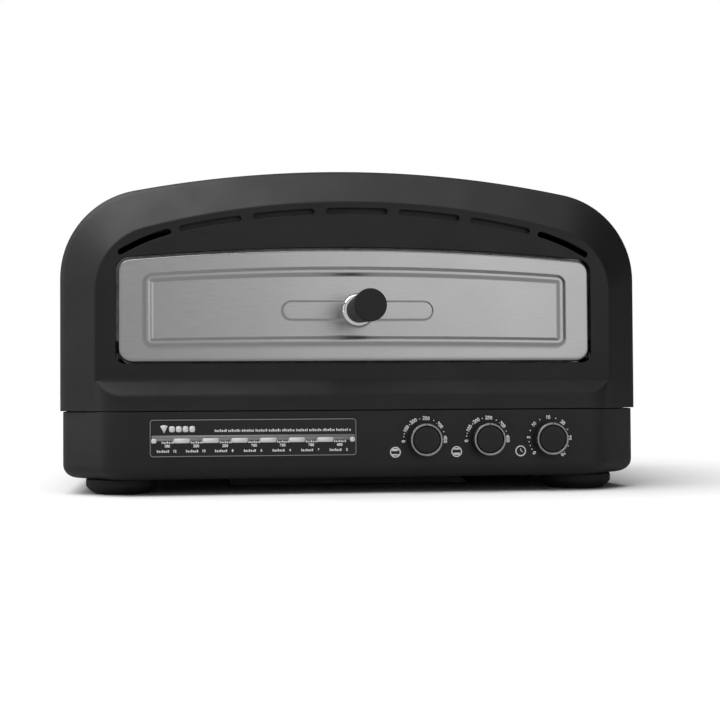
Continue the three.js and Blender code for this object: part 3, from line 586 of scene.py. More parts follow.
def bezel_band():
    """Columns across the bevelled band, from the fascia to the rear lip, all round the arch."""
    inner = panel_arch(1 * MM, LEDGE_TOP_Z)
    edge = panel_arch(0, LEDGE_TOP_Z)
    hood = hood_arch(0, LEDGE_TOP_Z)
    lip_r = 0.6 * MM
    columns = []
    for (xi, zi), (xe, ze), (xh, zh) in zip(inner, edge, hood):
        corner = Vector((xh, BAND_END_Y, zh))
        turn = Vector((xe, FASCIA_Y, ze))
        column = round_over((xi, FASCIA_Y, zi), turn, toward(turn, corner, EDGE_R), 3)
        column += round_over(toward(corner, turn, 7 * MM), corner, corner + Vector((0, 5 * MM, 0)), 5)
        lip = Vector((xh, BEZEL_END_Y, zh))
        inward = Vector((-xh, 0, 150 * MM - zh)).normalized()
        column += round_over(lip - Vector((0, lip_r, 0)), lip, lip + inward * lip_r, 2)
        column.append(lip + inward * 2.2 * MM)
        columns.append(column)
    return columns


def ledge_profiles():
    """Profiles of chin and sloped ledge at each point of the right half's plan, from the foot up."""
    profiles = []
    for x, y in chin_plan():
        top = LEDGE_LOW_Z + (y - FRONT_Y) * (LEDGE_TOP_Z - LEDGE_LOW_Z) / (FASCIA_Y - FRONT_Y)
        front = Vector((x, y, top))
        back = Vector((x, FASCIA_Y, LEDGE_TOP_Z))
        small = min(1.0, (back - front).length / (9 * MM))
        brow, crease = 2.2 * MM * small, 3.2 * MM * small
        foot = Vector((x, y, BEZEL_LOW_Z))
        behind = foot + Vector((0, SEAM_R, 0))
        profile = [foot + Vector((0, 2.4 * MM, 0)), behind]
        profile += round_over(behind, foot, foot + Vector((0, 0, SEAM_R)), 2)[1:]
        profile += round_over(front - Vector((0, 0, brow)), front, toward(front, back, brow), 4)
        profile += round_over(toward(back, front, crease), back, back + Vector((0, 0, crease)), 4)
        profiles.append(profile)
    return profiles


def ledge_end(skin, tip, column, sign):
    """Closes one end: from the chin's last profile to the band's lowest column."""
    heights = (BEZEL_LOW_Z, BEZEL_LOW_Z + SEAM_R, LEDGE_TOP_Z)
    rows = [[Vector((p.x, p.y, z)) for z in heights] for p in column[3:]]
    for row in rows:
        row.insert(0, row[0] + Vector((-sign * 2 * MM, 1 * MM, 0)))
    skin.grid([[tip[0], tip[2], tip[4], tip[5]]] + rows)
    skin.face([tip[5], rows[0][3], column[2], column[1], column[0]])
    skin.face([tip[5], column[0], tip[-1], tip[-3]])


def door_opening(grow):
    side, foot_gap, low_r, top_r = 2.5 * MM, 0.7 * MM, 8 * MM, 11.5 * MM
    return door_outline(side + grow, foot_gap + grow, side + grow, low_r + grow, top_r + grow)


def front_bezel():
    """The pressed front as one skin: band, chin, ledge, and the fascia with its openings."""
    skin = Skin()
    columns = bezel_band()
    skin.grid(columns)
    right = ledge_profiles()
    left = [mirrored(profile) for profile in right]
    skin.grid(list(reversed(left[1:])) + right)
    ledge_end(skin, left[-1], columns[0], -1)
    ledge_end(skin, right[-1], columns[-1], 1)

    foot_line = [profile[-1] for profile in right]
    outer = [column[0] for column in columns] + list(reversed(foot_line)) + mirrored(foot_line)[1:]
    loops = [outer, rim(skin, door_opening, 3 * MM, 0.8 * MM)]
    for index in range(SLOT_COUNT):
        loops.append(rim(skin, lambda grow, i=index: fascia_slot(i, grow), 2.2 * MM))
    skin.filled(loops)
    return piece("bezel", skin, BLACK, replaces=["front_bezel", "chin_panel"])


# ---- hood, base and rear ----
def hood_cover():
    """Folded cover: open below and behind, with rolled edges."""
    skin = Skin()

    def ring(inset, y):
        outline = hood_arch(inset, BEZEL_LOW_Z + 0.6 * MM)
        half = HOOD_HALF - inset
        tuck = [(half - 0.6 * MM, BEZEL_LOW_Z), (half - 2.4 * MM, BEZEL_LOW_Z)]
        return at_y([(-x, z) for x, z in reversed(tuck)] + outline + tuck, y)

    roll_deep, roll_in = 9 * MM, 8 * MM
    roll_y = BODY_END_Y - roll_deep
    rows = [ring(2.2 * MM, HOOD_START_Y), ring(0.6 * MM, HOOD_START_Y), ring(0, HOOD_START_Y + 0.6 * MM)]
    rows += [ring(0, HOOD_START_Y + (roll_y - HOOD_START_Y) * k / 6) for k in range(1, 7)]
    for i in range(1, 7):
        turn = math.pi / 2 * i / 6
        rows.append(ring(roll_in * (1 - math.cos(turn)), roll_y + roll_deep * math.sin(turn)))
    rows.append(ring(8.8 * MM, BODY_END_Y - 0.6 * MM))
    rows.append(ring(8.8 * MM, BODY_END_Y - 6 * MM))
    skin.grid(rows)
    return piece("hood", skin, BLACK, replaces=["hood_cover"])


def base_plan(inset):
    """(x, y) round the base: flat front, rounded corners, bevels, sides and rounded rear corners."""
    half = BASE_HALF - inset
    rear = BASE_END_Y - inset
    right = [(x - inset, y + inset) for x, y in chin_plan()[1:-1]]
    start_x, start_y = right[-1]
    corner = Vector((half, start_y + (half - start_x), 0))
    bend = round_over(corner - Vector((5, 5, 0)) * MM, corner, corner + Vector((0, 6 * MM, 0)), 5)
    right += [(p.x, p.y) for p in bend]
    radius = max(14 * MM - inset, 2 * MM)
    for i in range(9):
        turn = math.pi / 2 * i / 8
        right.append((half - radius + radius * math.cos(turn), rear - radius + radius * math.sin(turn)))
    return right + [(-x, y) for x, y in reversed(right)]


def base_housing():
    skin = Skin()

    def ring(inset, z):
        return [Vector((x, y, z)) for x, y in base_plan(inset)]

    fillet = 12 * MM
    rows = []
    for i in range(9):
        turn = math.pi / 2 * i / 8
        rows.append(ring(fillet * (1 - math.sin(turn)), BASE_LOW_Z + fillet * (1 - math.cos(turn))))
    rows.append(ring(0, BASE_TOP_Z - 0.7 * MM))
    rows.append(ring(0.2 * MM, BASE_TOP_Z - 0.2 * MM))
    rows.append(ring(0.7 * MM, BASE_TOP_Z))
    rows.append(ring(3 * MM, BASE_TOP_Z))
    rows.append(ring(3 * MM, BASE_TOP_Z - 20 * MM))
    skin.grid(rows, closed=True)
    skin.filled([rows[0]])
    return piece("base", skin, BLACK, replaces=["base_housing"])


# ---- door ----
BORDER_HALF = 182.5 * MM
BORDER_MARGIN = 14 * MM
BORDER_R = 8 * MM
BORDER_HEIGHT = 1.15 * MM
PAD_HALF = 65.5 * MM
PAD_HEIGHT = 0.7 * MM
PAD_R = 8.5 * MM
FACE_EDGE = 1.5 * MM
FOOT_EDGE = 3 * MM


def door_top(x, inset=0.0):
    radius = DOOR_ARCH_R - inset
    return DOOR_TOP_Z - DOOR_ARCH_R + math.sqrt(radius * radius - x * x)


def box_distance(x, z, half_x, half_z, radius):
    """Signed distance to a rounded rectangle about the origin."""
    dx = abs(x) - half_x + radius
    dz = abs(z) - half_z + radius
    outside = math.hypot(max(dx, 0), max(dz, 0))
    return outside + min(max(dx, dz), 0) - radius


def smooth(value):
    value = min(1.0, max(0.0, value))
    return value * value * (3 - 2 * value)


def door_relief(x, z):
    """How far the pressed border and the handle pad stand out of the door's face."""
    level = (z - DOOR_LOW_Z) / (door_top(x) - DOOR_LOW_Z)
    full = DOOR_TOP_Z - DOOR_LOW_Z
    flat_z = level * full - full / 2
    outer = box_distance(x, flat_z, BORDER_HALF, full / 2 - BORDER_MARGIN, BORDER_R)
    ridge = abs(outer + 4.2 * MM)
    border = BORDER_HEIGHT * smooth((4.6 * MM - ridge) / (3.9 * MM))
    pad = box_distance(x, z - HANDLE_Z, PAD_HALF, PAD_R, PAD_R)
    return border + PAD_HEIGHT * smooth(-pad / (1.2 * MM))


def spaced(spans):
    """Coordinates over spans of (start, end, step)."""
    values = []
    for start, end, step in spans:
        count = max(1, round((end - start) / step))
        values += [start + (end - start) * i / count for i in range(count)]
    values.append(spans[-1][1])
    return values


def door_skin():
    """Pressed steel face with a raised border and pad, its edges turned back all round."""
    skin = Skin()
    half = DOOR_HALF - FACE_EDGE
    edge = half - 2 * MM
    right = spaced([(0, 54 * MM, 2.5 * MM), (54 * MM, 68 * MM, 0.7 * MM), (68 * MM, 170 * MM, 3 * MM),
                    (170 * MM, 186 * MM, 0.7 * MM), (186 * MM, edge, 1.2 * MM), (edge, half, 0.4 * MM)])
    xs = [-x for x in reversed(right[1:])] + right
    full = DOOR_TOP_Z - DOOR_LOW_Z
    heights = spaced([(0, 12 * MM, 2 * MM), (12 * MM, 24 * MM, 0.6 * MM), (24 * MM, 34 * MM, 1.6 * MM),
                      (34 * MM, 54 * MM, 0.6 * MM), (54 * MM, 72 * MM, 1.6 * MM),
                      (72 * MM, 84 * MM, 0.6 * MM), (84 * MM, full, 2 * MM)])

    def ends(x, inset_side, inset_low, inset_top):
        """Lowest and highest z of the outline at x."""
        low_r, top_r = 12 * MM - inset_low, 9 * MM - inset_top
        reach = DOOR_HALF - inset_side
        low = DOOR_LOW_Z + inset_low
        over = abs(x) - (reach - low_r)
        if over > 0:
            low += low_r - math.sqrt(max(low_r ** 2 - over ** 2, 0))
        high = door_top(x, inset_top)
        over = abs(x) - (reach - top_r)
        if over > 0:
            high -= top_r - math.sqrt(max(top_r ** 2 - over ** 2, 0))
        return low, high

    rows = []
    for x in xs:
        low, high = ends(x, FACE_EDGE, FOOT_EDGE, FACE_EDGE)
        row = []
        for height in heights:
            z = low + (high - low) * height / full
            row.append(Vector((x, DOOR_FACE_Y - door_relief(x, z), z)))
        rows.append(row)
    skin.grid(rows)

    stretch = DOOR_HALF / half
    face_loop, full_loop = [], []
    order = [(x, 0) for x in xs] + [(xs[-1], h) for h in heights[1:-1]]
    order += [(x, full) for x in reversed(xs)] + [(xs[0], h) for h in reversed(heights[1:-1])]
    for x, height in order:
        low, high = ends(x, FACE_EDGE, FOOT_EDGE, FACE_EDGE)
        face_loop.append(Vector((x, DOOR_FACE_Y, low + (high - low) * height / full)))
        wide = x * stretch
        low, high = ends(wide, 0, 0, 0)
        full_loop.append(Vector((wide, DOOR_FACE_Y, low + (high - low) * height / full)))
    rings = [face_loop]
    for i in range(1, 6):
        turn = math.pi / 2 * i / 5
        ring = []
        for near, far in zip(face_loop, full_loop):
            drop = FACE_EDGE + (FOOT_EDGE - FACE_EDGE) * smooth((near.z - far.z) / FOOT_EDGE)
            spot = near.lerp(far, math.sin(turn))
            ring.append(Vector((spot.x, DOOR_FACE_Y + drop * (1 - math.cos(turn)), spot.z)))
        rings.append(ring)
    rings.append([Vector((p.x, DOOR_FACE_Y + 9.5 * MM, p.z)) for p in full_loop])
    skin.grid(rings, closed=True)
    thick = ("SOLIDIFY", {"thickness": 1.0 * MM, "offset": -1.0, "use_even_offset": False})
    return piece("door_face", skin, SATIN, body="door", replaces=["door_skin"],
                 modifiers=[thick])


def handle():
    """Round grip with a softened end, a little wider toward its foot, on a bright collar."""
    tip, foot = HANDLE_LOW.y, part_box("handle_collar")[0].y - 0.3 * MM
    chamfer = 1.0 * MM
    profile = [(0.01 * MM, tip), (HANDLE_R * 0.5, tip), (HANDLE_R - 2 * MM, tip)]
    for i in range(6):
        turn = math.pi / 2 * i / 5
        radius = HANDLE_R - chamfer + chamfer * math.sin(turn)
        profile.append((radius, tip + chamfer * (1 - math.cos(turn))))
    taper = foot - 0.6 * MM - tip - chamfer
    for i in range(1, 9):
        t = i / 8
        profile.append((HANDLE_R + (HANDLE_FOOT_R - HANDLE_R) * t, tip + chamfer + taper * t))
    profile += [(HANDLE_FOOT_R - 0.5 * MM, foot), (0.01 * MM, foot)]
    skin = Skin()
    skin.lathe(profile, (0, 0, HANDLE_Z), steps=96)
    piece("grip", skin, PLASTIC, body="door", replaces=["handle_grip"])

    low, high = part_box("handle_collar")
    outer = high.x
    dome_wide, dome_deep = 4.4 * MM, (high.y - low.y) * 0.75
    profile = [(4 * MM, high.y), (outer - 0.6 * MM, high.y), (outer, high.y - 0.6 * MM)]
    for i in range(13):
        turn = math.pi / 2 * i / 12
        profile.append((outer - dome_wide * (1 - math.cos(turn)), low.y + dome_deep * (1 - math.sin(turn))))
    profile += [(4 * MM, low.y), (4 * MM, high.y)]
    skin = Skin()
    skin.lathe(profile, (0, 0, HANDLE_Z), steps=96)
    piece("collar", skin, CHROME, body="door", replaces=["handle_collar"])


# ---- controls ----
def knob_centre(name):
    low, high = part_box(f"knob_{name}")
    return (low + high) / 2, low.y, high.y, high.x - (low.x + high.x) / 2


def knob(name):
    """Black cap with a flat face, a silver ring let into its rim, and a pointer."""
    centre, front, back, radius = knob_centre(name)
    spot = (centre.x, 0, centre.z)
    profile = [(0.01 * MM, front), (5 * MM, front), (10.6 * MM, front), (11.3 * MM, front + 0.3 * MM),
               (11.35 * MM, front + 1.6 * MM), (13.2 * MM, front + 1.6 * MM),
               (radius - 0.5 * MM, front + 2 * MM), (radius - 0.2 * MM, front + 2.6 * MM),
               (radius, back - 0.8 * MM), (radius - 0.5 * MM, back), (3.4 * MM, back)]
    skin = Skin()
    skin.lathe(profile, spot, steps=72)
    body = f"{name}_control"
    piece(f"cap_{name}", skin, PLASTIC, body=body, replaces=[f"knob_{name}"])

    low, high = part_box(f"knob_ring_{name}")
    outer = 13.8 * MM
    inner = 11.8 * MM
    middle, half_width, swell = (outer + inner) / 2, (outer - inner) / 2, 0.9 * MM
    profile = [(inner, high.y)]
    for i in range(9):
        turn = math.pi * i / 8
        profile.append((middle - half_width * math.cos(turn), low.y + swell - swell * math.sin(turn)))
    profile += [(outer, high.y), (inner, high.y)]
    skin = Skin()
    skin.lathe(profile, spot, steps=96)
    piece(f"ring_{name}", skin, SILVER, body=body, replaces=[f"knob_ring_{name}"])

    skin = Skin()
    wide, reach = 0.3 * MM, (9.8 * MM, 13.9 * MM)
    loop = [(centre.x - wide, centre.z + reach[0]), (centre.x + wide, centre.z + reach[0]),
            (centre.x + wide, centre.z + reach[1]), (centre.x - wide, centre.z + reach[1])]
    skin.grid([at_y(loop, low.y - 0.15 * MM), at_y(loop, low.y + 1.2 * MM)], closed=True)
    skin.face(at_y(loop, low.y - 0.15 * MM))
    skin.face(at_y(loop, low.y + 1.2 * MM))
    piece(f"pointer_{name}", skin, PLASTIC, body=body, modifiers=[bevelled(0.12 * MM, 2)])


INK_LIFT = 0.12 * MM
DOT_R = 0.55 * MM


def flat_shape(skin, outline, face_y):
    """A thin raised print: its face and its side wall."""
    front = at_y(outline, face_y - INK_LIFT)
    skin.grid([front, at_y(outline, face_y + 0.05 * MM)], closed=True)
    skin.filled([front])


def ring_shape(skin, centre, outer, inner, face_y, steps=40):
    loops = []
    for radius in (outer, inner):
        loops.append([(centre[0] + radius * math.cos(math.tau * k / steps),
                       centre[1] + radius * math.sin(math.tau * k / steps)) for k in range(steps)])
    rows = [at_y(loops[0], face_y + 0.05 * MM), at_y(loops[0], face_y - INK_LIFT),
            at_y(loops[1], face_y - INK_LIFT), at_y(loops[1], face_y + 0.05 * MM)]
    skin.grid(rows, closed=True)


def bar(skin, centre, length, height, face_y, tilt=0.0):
    c, s = math.cos(tilt), math.sin(tilt)
    corners = rounded(-length / 2, length / 2, -height / 2, height / 2, min(length, height) * 0.3, 2)
    flat_shape(skin, [(centre[0] + x * c - z * s, centre[1] + x * s + z * c) for x, z in corners], face_y)


def greeked(skin, start, end, z, height, face_y):
    """A line of small bars in place of lettering."""
    widths = (0.9, 1.3, 0.7, 1.1, 1.4, 0.8, 1.2, 1.0)
    x, count = start, 0
    while x < end - 1.4 * MM:
        width = widths[count % len(widths)] * MM
        tall = height * (0.75 if count % 3 else 1.0)
        bar(skin, (x + width / 2, z + (tall - height) / 2), width, tall, face_y)
        x += width + (1.3 if count % 7 == 6 else 0.45) * MM
        count += 1


def numeral(text, size, centre, turn, face_y):
    """A printed number standing on the front, turned clockwise about its middle."""
    curve = bpy.data.curves.new(f"text_{text}", "FONT")
    curve.body = text
    curve.size = size
    curve.align_x = "CENTER"
    curve.align_y = "CENTER"
    curve.extrude = INK_LIFT / 2
    curve.offset = size * 0.05
    holder = bpy.data.objects.new("text", curve)
    data = bpy.data.meshes.new_from_object(holder)
    stand = Matrix.Rotation(math.pi / 2, 4, "X")
    spin = Matrix.Rotation(-turn, 4, "Z")
    place = Matrix.Translation((centre[0], face_y - INK_LIFT / 2, centre[1]))
    data.transform(place @ stand @ spin)
    bpy.data.objects.remove(holder)
    return data


def joined(skin, meshes):
    """Adds finished meshes to a skin."""
    for data in meshes:
        start = len(skin.points)
        skin.points.extend(v.co.copy() for v in data.vertices)
        skin.faces.extend(tuple(start + i for i in polygon.vertices) for polygon in data.polygons)


def dial(name, marks, dots):
    """Numbers and dots printed round a knob."""
    centre, _, _, _ = knob_centre(name)
    skin = Skin()
    radius = 17.9 * MM
    texts = []
    for angle, text in marks:
        turn = math.radians(angle)
        spot = (centre.x + radius * math.sin(turn), centre.z + radius * math.cos(turn))
        texts.append(numeral(text, 4.1 * MM, spot, turn, FRONT_Y))
    for angle in dots:
        turn = math.radians(angle)
        spot = (centre.x + radius * math.sin(turn), centre.z + radius * math.cos(turn))
        turns = [math.tau * k / 12 for k in range(12)]
        outline = [(spot[0] + DOT_R * math.cos(t), spot[1] + DOT_R * math.sin(t)) for t in turns]
        flat_shape(skin, outline, FRONT_Y)
    joined(skin, texts)
    piece(f"dial_{name}", skin, INK, weighted=False)


def icons():
    """Round pictograms left of the knobs: heat from above, heat from below, time."""
    skin = Skin()
    outer, line = 4.6 * MM, 0.9 * MM
    for name, glyph, beside in zip(KNOBS, ("top", "bottom", "clock"), (25.0 * MM, 26.6 * MM, 25.2 * MM)):
        centre, _, _, _ = knob_centre(name)
        x, z = centre.x - beside, centre.z - 10.6 * MM
        ring_shape(skin, (x, z), outer, outer - line, FRONT_Y)
        if glyph == "clock":
            bar(skin, (x, z + 1.1 * MM), 0.6 * MM, 2.4 * MM, FRONT_Y)
            bar(skin, (x + 0.9 * MM, z - 0.3 * MM), 2.2 * MM, 0.6 * MM, FRONT_Y, -0.5)
            continue
        sign = 1 if glyph == "top" else -1
        bar(skin, (x, z + sign * 1.9 * MM), 6.0 * MM, 2.0 * MM, FRONT_Y)
        bar(skin, (x, z - sign * 2.2 * MM), 5.6 * MM, 1.2 * MM, FRONT_Y)
    piece("dial_icons", skin, INK, weighted=False)


def settings_table():
    """Frame, pictogram and table of settings on the plate; lettering is stood in for by plain bars."""
    low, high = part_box("settings_plate")
    face = low.y
    outline = Skin()
    inset, line = 0.3 * MM, 0.65 * MM
    loops = []
    for d in (inset, inset + line):
        loops.append(rounded(low.x + d, high.x - d, low.z + d, high.z - d, 3 * MM - d))
    rows = [at_y(loops[0], face + 0.05 * MM), at_y(loops[0], face - INK_LIFT),
            at_y(loops[1], face - INK_LIFT), at_y(loops[1], face + 0.05 * MM)]
    outline.grid(rows, closed=True)
    skin = Skin()
    left, top = low.x, high.z
    wide = high.x - low.x

    slice_x, slice_z = left + 12 * MM, top - 8.2 * MM
    wedge = [(slice_x, slice_z - 3.4 * MM)]
    for i in range(9):
        turn = math.radians(118 - 56 * i / 8)
        wedge.append((slice_x + 6.8 * MM * math.cos(turn), slice_z - 3.4 * MM + 6.8 * MM * math.sin(turn)))
    flat_shape(skin, wedge[:1] + wedge[:0:-1], face)
    for k in range(4):
        bar(skin, (left + (18.6 + 5.6 * k) * MM, slice_z), 4.7 * MM, 5 * MM, face)
    greeked(skin, left + 54 * MM, low.x + wide - 3.5 * MM, top - 9.7 * MM, 2.3 * MM, face)

    columns = 7
    pitch = (wide - 5 * MM) / columns
    bar(outline, (left + wide / 2, top - 14.7 * MM), wide - 3.4 * MM, 2.4 * MM, face)
    texts = []
    values = (("180", "12"), ("200", "10"), ("250", "8"), ("300", "6"), ("350", "4"),
              ("380", "3"), ("400", "2"))
    for k, (heat, minutes) in enumerate(values):
        x = left + 2.5 * MM + pitch * (k + 0.5)
        band_z = top - 17.9 * MM
        half_break = 5.2 * MM
        if k:
            bar(skin, (x - pitch / 2, band_z), pitch - 2 * half_break, 3.9 * MM, face)
        bar(outline, (x, band_z + 0.9 * MM), pitch + 0.4 * MM, 2.2 * MM, face + 0.04 * MM)
        start = x - half_break + 0.6 * MM
        greeked(skin, start, start + 2 * half_break, band_z - 1.4 * MM, 1.9 * MM, face)
        texts.append(numeral(heat, 3.2 * MM, (x, top - 22.4 * MM), 0, face))
        greeked(skin, x - 8.5 * MM, x + 4 * MM, top - 26.6 * MM, 2.2 * MM, face)
        texts.append(numeral(minutes, 3.0 * MM, (x + 6.2 * MM, top - 26.6 * MM), 0, face))
    for x, width in ((left + 3.6 * MM, 4.2 * MM), (left + wide - 3.6 * MM, 4.2 * MM)):
        bar(skin, (x, band_z), width, 3.9 * MM, face)
    joined(skin, texts)
    piece("settings_print", skin, INK, weighted=False)
    piece("settings_frame", outline, DIM_INK, weighted=False)


# ---- feet, fittings and inside ----
def foot(side_row):
    low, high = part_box(f"foot_{side_row}")
    centre = (low + high) / 2
    outer = high.x - centre.x
    profile = [(8 * MM, 5 * MM), (8 * MM, 0.6 * MM), (8.6 * MM, 0), (21 * MM, 0), (23.2 * MM, 0.35 * MM)]
    for i in range(7):
        t = i / 6
        profile.append((outer - 6.5 * MM * (1 - math.sin(t * math.pi / 2)), 1.2 * MM + 6.8 * MM * t))
    profile += [(outer, high.z - 1 * MM), (outer - 0.8 * MM, high.z), (10 * MM, high.z)]
    skin = Skin()
    skin.lathe(profile, (centre.x, centre.y, 0), axis="Z", steps=72)
    turns = [math.tau * k / 72 for k in range(72)]
    ring = [Vector((centre.x + 8 * MM * math.cos(t), centre.y + 8 * MM * math.sin(t), 5 * MM)) for t in turns]
    skin.filled([ring])
    piece(f"pad_{side_row}", skin, RUBBER, replaces=[f"foot_{side_row}"])


def screw(name, spot, axis, radius=3.2 * MM, body=BODY):
    """Pan-head screw with a cross recess, its head outward along axis."""
    skin = Skin()
    height = radius * 0.55
    steps = 32
    profile = [(radius, 0.0), (radius * 0.98, height * 0.35), (radius * 0.8, height * 0.8),
               (radius * 0.55, height)]
    rows = []
    for r, h in profile:
        rows.append([Vector((r * math.cos(math.tau * k / steps), r * math.sin(math.tau * k / steps), h))
                     for k in range(steps)])
    skin.grid(rows, closed=True)
    arm, web = radius * 0.42, radius * 0.12
    cross = []
    for k in range(4):
        turn = math.pi / 2 * k
        c, s = math.cos(turn), math.sin(turn)
        for x, y in ((web, web), (arm, web), (arm, -web)):
            cross.append((x * c + y * s, y * c - x * s))
    loop = [Vector((x, y, height)) for x, y in cross]
    skin.filled([rows[-1], loop])
    floor = [Vector((x * 0.6, y * 0.6, height * 0.25)) for x, y in cross]
    skin.grid([loop, floor], closed=True)
    skin.filled([floor])
    turn = Vector((0, 0, 1)).rotation_difference(Vector(axis)).to_matrix()
    skin.points = [turn @ p + Vector(spot) for p in skin.points]
    piece(name, skin, PLATED, body=body)


def heater(name, radius=3.3 * MM):
    """Serpentine heater tube over the same runs as its CAD solid."""
    low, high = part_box(name)
    z = (low.z + high.z) / 2
    y0, y1 = low.y + radius, high.y - radius
    half, runs = 165 * MM, 6
    pitch = (y1 - y0) / (runs - 1)
    bend = pitch / 2
    path = [Vector((high.x, y1, z))]
    for i in range(runs):
        y = y1 - i * pitch
        side = -1 if i % 2 else 1
        path.append(Vector((side * (half - bend), y, z)))
        if i + 1 == runs:
            path.append(Vector((-side * (half - bend * 0.2), y, z)))
            break
        x = -side * (half - bend)
        path.append(Vector((x, y, z)))
        for k in range(1, 16):
            turn = math.pi * k / 16
            path.append(Vector((x - side * bend * math.sin(turn), y - bend * (1 - math.cos(turn)), z)))
    skin = Skin()
    skin.tube(path, radius * 0.98, 16)
    piece(f"{name}_tube", skin, HEATER, replaces=[name])


def stone():
    low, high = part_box("pizza_stone")
    centre = (low + high) / 2
    outer = high.y - centre.y
    edge = 2.2 * MM
    profile = [(0.01 * MM, low.z), (outer - edge, low.z)]
    for i in range(1, 5):
        turn = math.pi / 2 * i / 4
        profile.append((outer - edge + edge * math.sin(turn), low.z + edge * (1 - math.cos(turn))))
    for i in range(5):
        turn = math.pi / 2 * i / 4
        profile.append((outer - edge + edge * math.cos(turn), high.z - edge * (1 - math.sin(turn))))
    profile += [(outer * 0.66, high.z), (outer * 0.33, high.z), (0.01 * MM, high.z)]
    skin = Skin()
    skin.lathe(profile, (centre.x, centre.y, 0), axis="Z", steps=128)
    piece("baking_stone", skin, STONE, replaces=["pizza_stone"])


def cad_materials():
    """Every carried-over CAD node gets its slot's material, softened edges and smooth shading."""
    slots = {s["node"]: s["material_slot"] for s in frame["record"]["subparts"]}
    # belly_cowl: a black cover under the base that also stands in for painted shade, the dark shadow gap
    # between the front feet
    softened = {"belly_cowl": 1.2, "rear_panel": 0.4, "side_vent_left": 0.35, "side_vent_right": 0.35,
                "door_liner": 0.4, "settings_plate": 0.15, "cord_gland": 0.4, "chamber_front_frame": 0.4}
    for name, made in frame["nodes"].items():
        made.data.materials.clear()
        made.data.materials.append(SLOT_MATERIALS[slots[name]])
        width = softened.get(name, 0.2) * MM
        bevel = made.modifiers.new("bevel", "BEVEL")
        bevel.width = width
        bevel.segments = 2
        bevel.limit_method = "ANGLE"
        bevel.angle_limit = 0.6
        made.modifiers.new("normals", "WEIGHTED_NORMAL").keep_sharp = True


def build():
    cad_materials()
    front_bezel()
    hood_cover()
    base_housing()
    door_skin()
    handle()
    for name in KNOBS:
        knob(name)
    heat_marks = [(-95, "0"), (-60, "100"), (-31, "200"), (5, "250"), (48, "300"), (90, "400")]
    heat_dots = (-82, -74, -45, -13, 27, 69)
    dial("upper_heat", heat_marks, heat_dots)
    dial("lower_heat", heat_marks, heat_dots)
    time_marks = [(-133, "0"), (-87, "5"), (-48, "10"), (-3, "15"), (42, "20"), (89, "25"), (138, "30")]
    dial("timer", time_marks, (-121, -110, -99, -68, -27, 19, 65, 112))
    icons()
    settings_table()
    for row in ("front", "rear"):
        for side in ("left", "right"):
            foot(f"{row}_{side}")
    heater("lower_element")
    heater("upper_element")
    stone()
    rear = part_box("rear_panel")
    for k, (x, z) in enumerate([(-215, 90), (215, 90), (-215, 190), (215, 190), (-90, 262), (90, 262)]):
        screw(f"rear_screw_{k + 1}", (x * MM, rear[1].y, z * MM), (0, 1, 0))
    for side, sign in (("left", -1), ("right", 1)):
        low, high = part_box(f"side_vent_{side}")
        face = high.x if sign > 0 else low.x
        for k, (y, z) in enumerate([(100, 86), (200, 86), (103, 146), (197, 146)]):
            screw(f"vent_screw_{side}_{k + 1}", (face, y * MM, z * MM), (sign, 0, 0), 2.3 * MM)


# ---- stage, light and camera ----
def add_light(name, kind, spot, target, power, size=None):
    data = bpy.data.lights.new(name, kind)
    data.energy = power
    if kind == "AREA":
        data.shape = "RECTANGLE"
        data.size, data.size_y = size
    made = bpy.data.objects.new(name, data)
    bpy.context.scene.collection.objects.link(made)
    made.location = spot
    made.rotation_euler = (Vector(target) - Vector(spot)).to_track_quat("-Z", "Y").to_euler()
    return made


def stage():
    """A pale floor, wide enough to reach the horizon, with its own soft overhead light."""
    skin = Skin()
    reach = 60.0
    skin.grid([[Vector((x, y, 0)) for x in (-reach, reach)] for y in (-reach, reach)])
    data = skin.mesh("floor")
    floor = bpy.data.objects.new("floor", data)
    bpy.context.scene.collection.objects.link(floor)
    material, tree, shader = new_material("floor_white", Specular_IOR_Level=0.1, Roughness=0.9)
    tone = noise(tree, position(tree), 3, 2)
    seen = node(tree, "ShaderNodeLightPath").outputs["Is Camera Ray"]
    pale = ramp(tree, tone, [(0.3, (0.86, 0.86, 0.86)), (0.7, (0.87, 0.87, 0.87))])
    link(tree, shader, Base_Color=mix(tree, seen, (0.50, 0.50, 0.50), pale))
    data.materials.append(material)

    only = bpy.data.collections.new("floor_receives")
    only.objects.link(floor)
    sun = add_light("floor_sun", "SUN", (-1.2, -0.6, 3), (0, 0, 0), 3.75)
    sun.data.angle = math.radians(75)
    sun.light_linking.receiver_collection = only
    rest = bpy.data.collections.new("floor_left_out")
    rest.objects.link(floor)
    rest.collection_objects[0].light_linking.link_state = "EXCLUDE"
    return rest


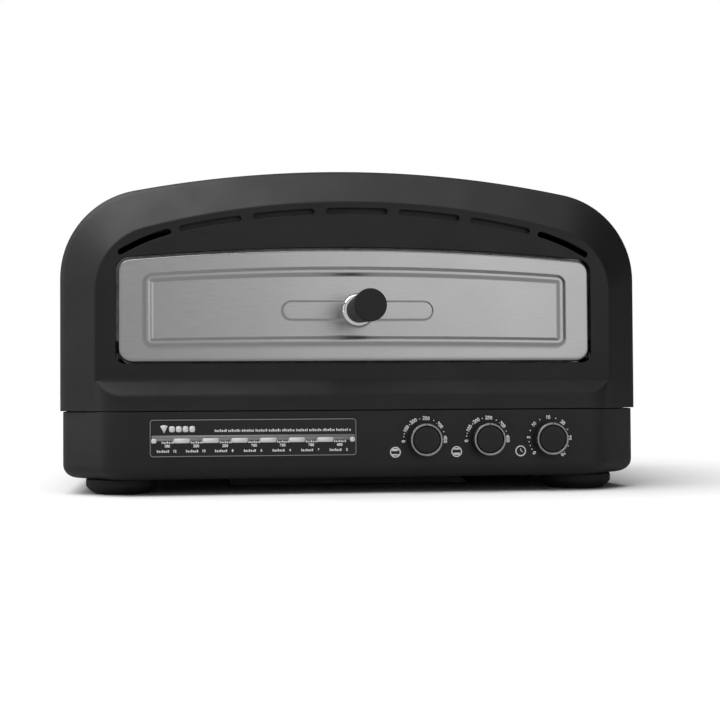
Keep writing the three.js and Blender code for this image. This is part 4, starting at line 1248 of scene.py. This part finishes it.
def studio(rest):
    """White surroundings for the camera, dimmer ones for the light, and four soft boxes."""
    world = bpy.data.worlds.new("studio")
    bpy.context.scene.world = world
    world.use_nodes = True
    tree = world.node_tree
    tree.nodes["Background"].inputs["Color"].default_value = (1, 1, 1, 1)
    toward_sky = node(tree, "ShaderNodeTexCoord").outputs["Generated"]
    heading = node(tree, "ShaderNodeSeparateXYZ", {"Vector": toward_sky})
    ahead = node(tree, "ShaderNodeMapRange", {
        "Value": heading.outputs["Y"], "From Max": -1.0, "To Min": 0.06, "To Max": 0.74}).outputs["Result"]
    right = node(tree, "ShaderNodeMapRange", {
        "Value": heading.outputs["X"], "From Max": 0.7, "To Min": 1.0, "To Max": 0.05}).outputs["Result"]
    lit = node(tree, "ShaderNodeMath", {0: ahead, 1: right}, operation="MULTIPLY").outputs["Value"]
    seen = node(tree, "ShaderNodeLightPath").outputs["Is Camera Ray"]
    strength = node(tree, "ShaderNodeMapRange", {"Value": seen, "To Min": lit}).outputs["Result"]
    tree.links.new(strength, tree.nodes["Background"].inputs["Strength"])
    boxes = (
        ("key_box", (-0.55, -0.10, 1.05), (-0.1, -0.1, 0.2), 11.5, (0.7, 0.8)),
        ("left_box", (-1.5, 0.10, 0.45), (0, -0.1, 0.15), 5.2, (1.2, 1.0)),
        ("front_box", (0.8, -2.2, 0.5), (0, -0.16, 0.15), 7.6, (1.5, 1.2)),
        ("top_box", (0.35, -0.2, 1.5), (0.1, -0.1, 0.2), 6.2, (1.0, 1.0)),
    )
    for name, spot, target, power, size in boxes:
        box = add_light(name, "AREA", spot, target, power, size)
        box.light_linking.receiver_collection = rest
    bpy.context.scene.view_settings.view_transform = "Standard"


CAMERA_SPOT = (-0.1501, -1.3078, 0.0870)
CAMERA_YAW, CAMERA_PITCH, CAMERA_ROLL = 6.375, 1.307, -0.32


def camera():
    """Low camera left of the middle, in front of the oven and turned a little to the right."""
    data = bpy.data.cameras.new("camera")
    data.sensor_width = 36
    data.lens = 67.5
    data.shift_x = 0.0384
    data.shift_y = 0.0008
    data.dof.use_dof = False
    made = bpy.data.objects.new("camera", data)
    bpy.context.scene.collection.objects.link(made)
    yaw, pitch, roll = (math.radians(angle) for angle in (CAMERA_YAW, CAMERA_PITCH, CAMERA_ROLL))
    made.location = CAMERA_SPOT
    made.rotation_mode = "QUATERNION"
    turn = Matrix.Rotation(-yaw, 3, "Z") @ Matrix.Rotation(math.pi / 2 + pitch, 3, "X")
    turn = turn @ Matrix.Rotation(roll, 3, "Z")
    made.rotation_quaternion = turn.to_quaternion()
    bpy.context.scene.camera = made


camera()
studio(stage())
build()
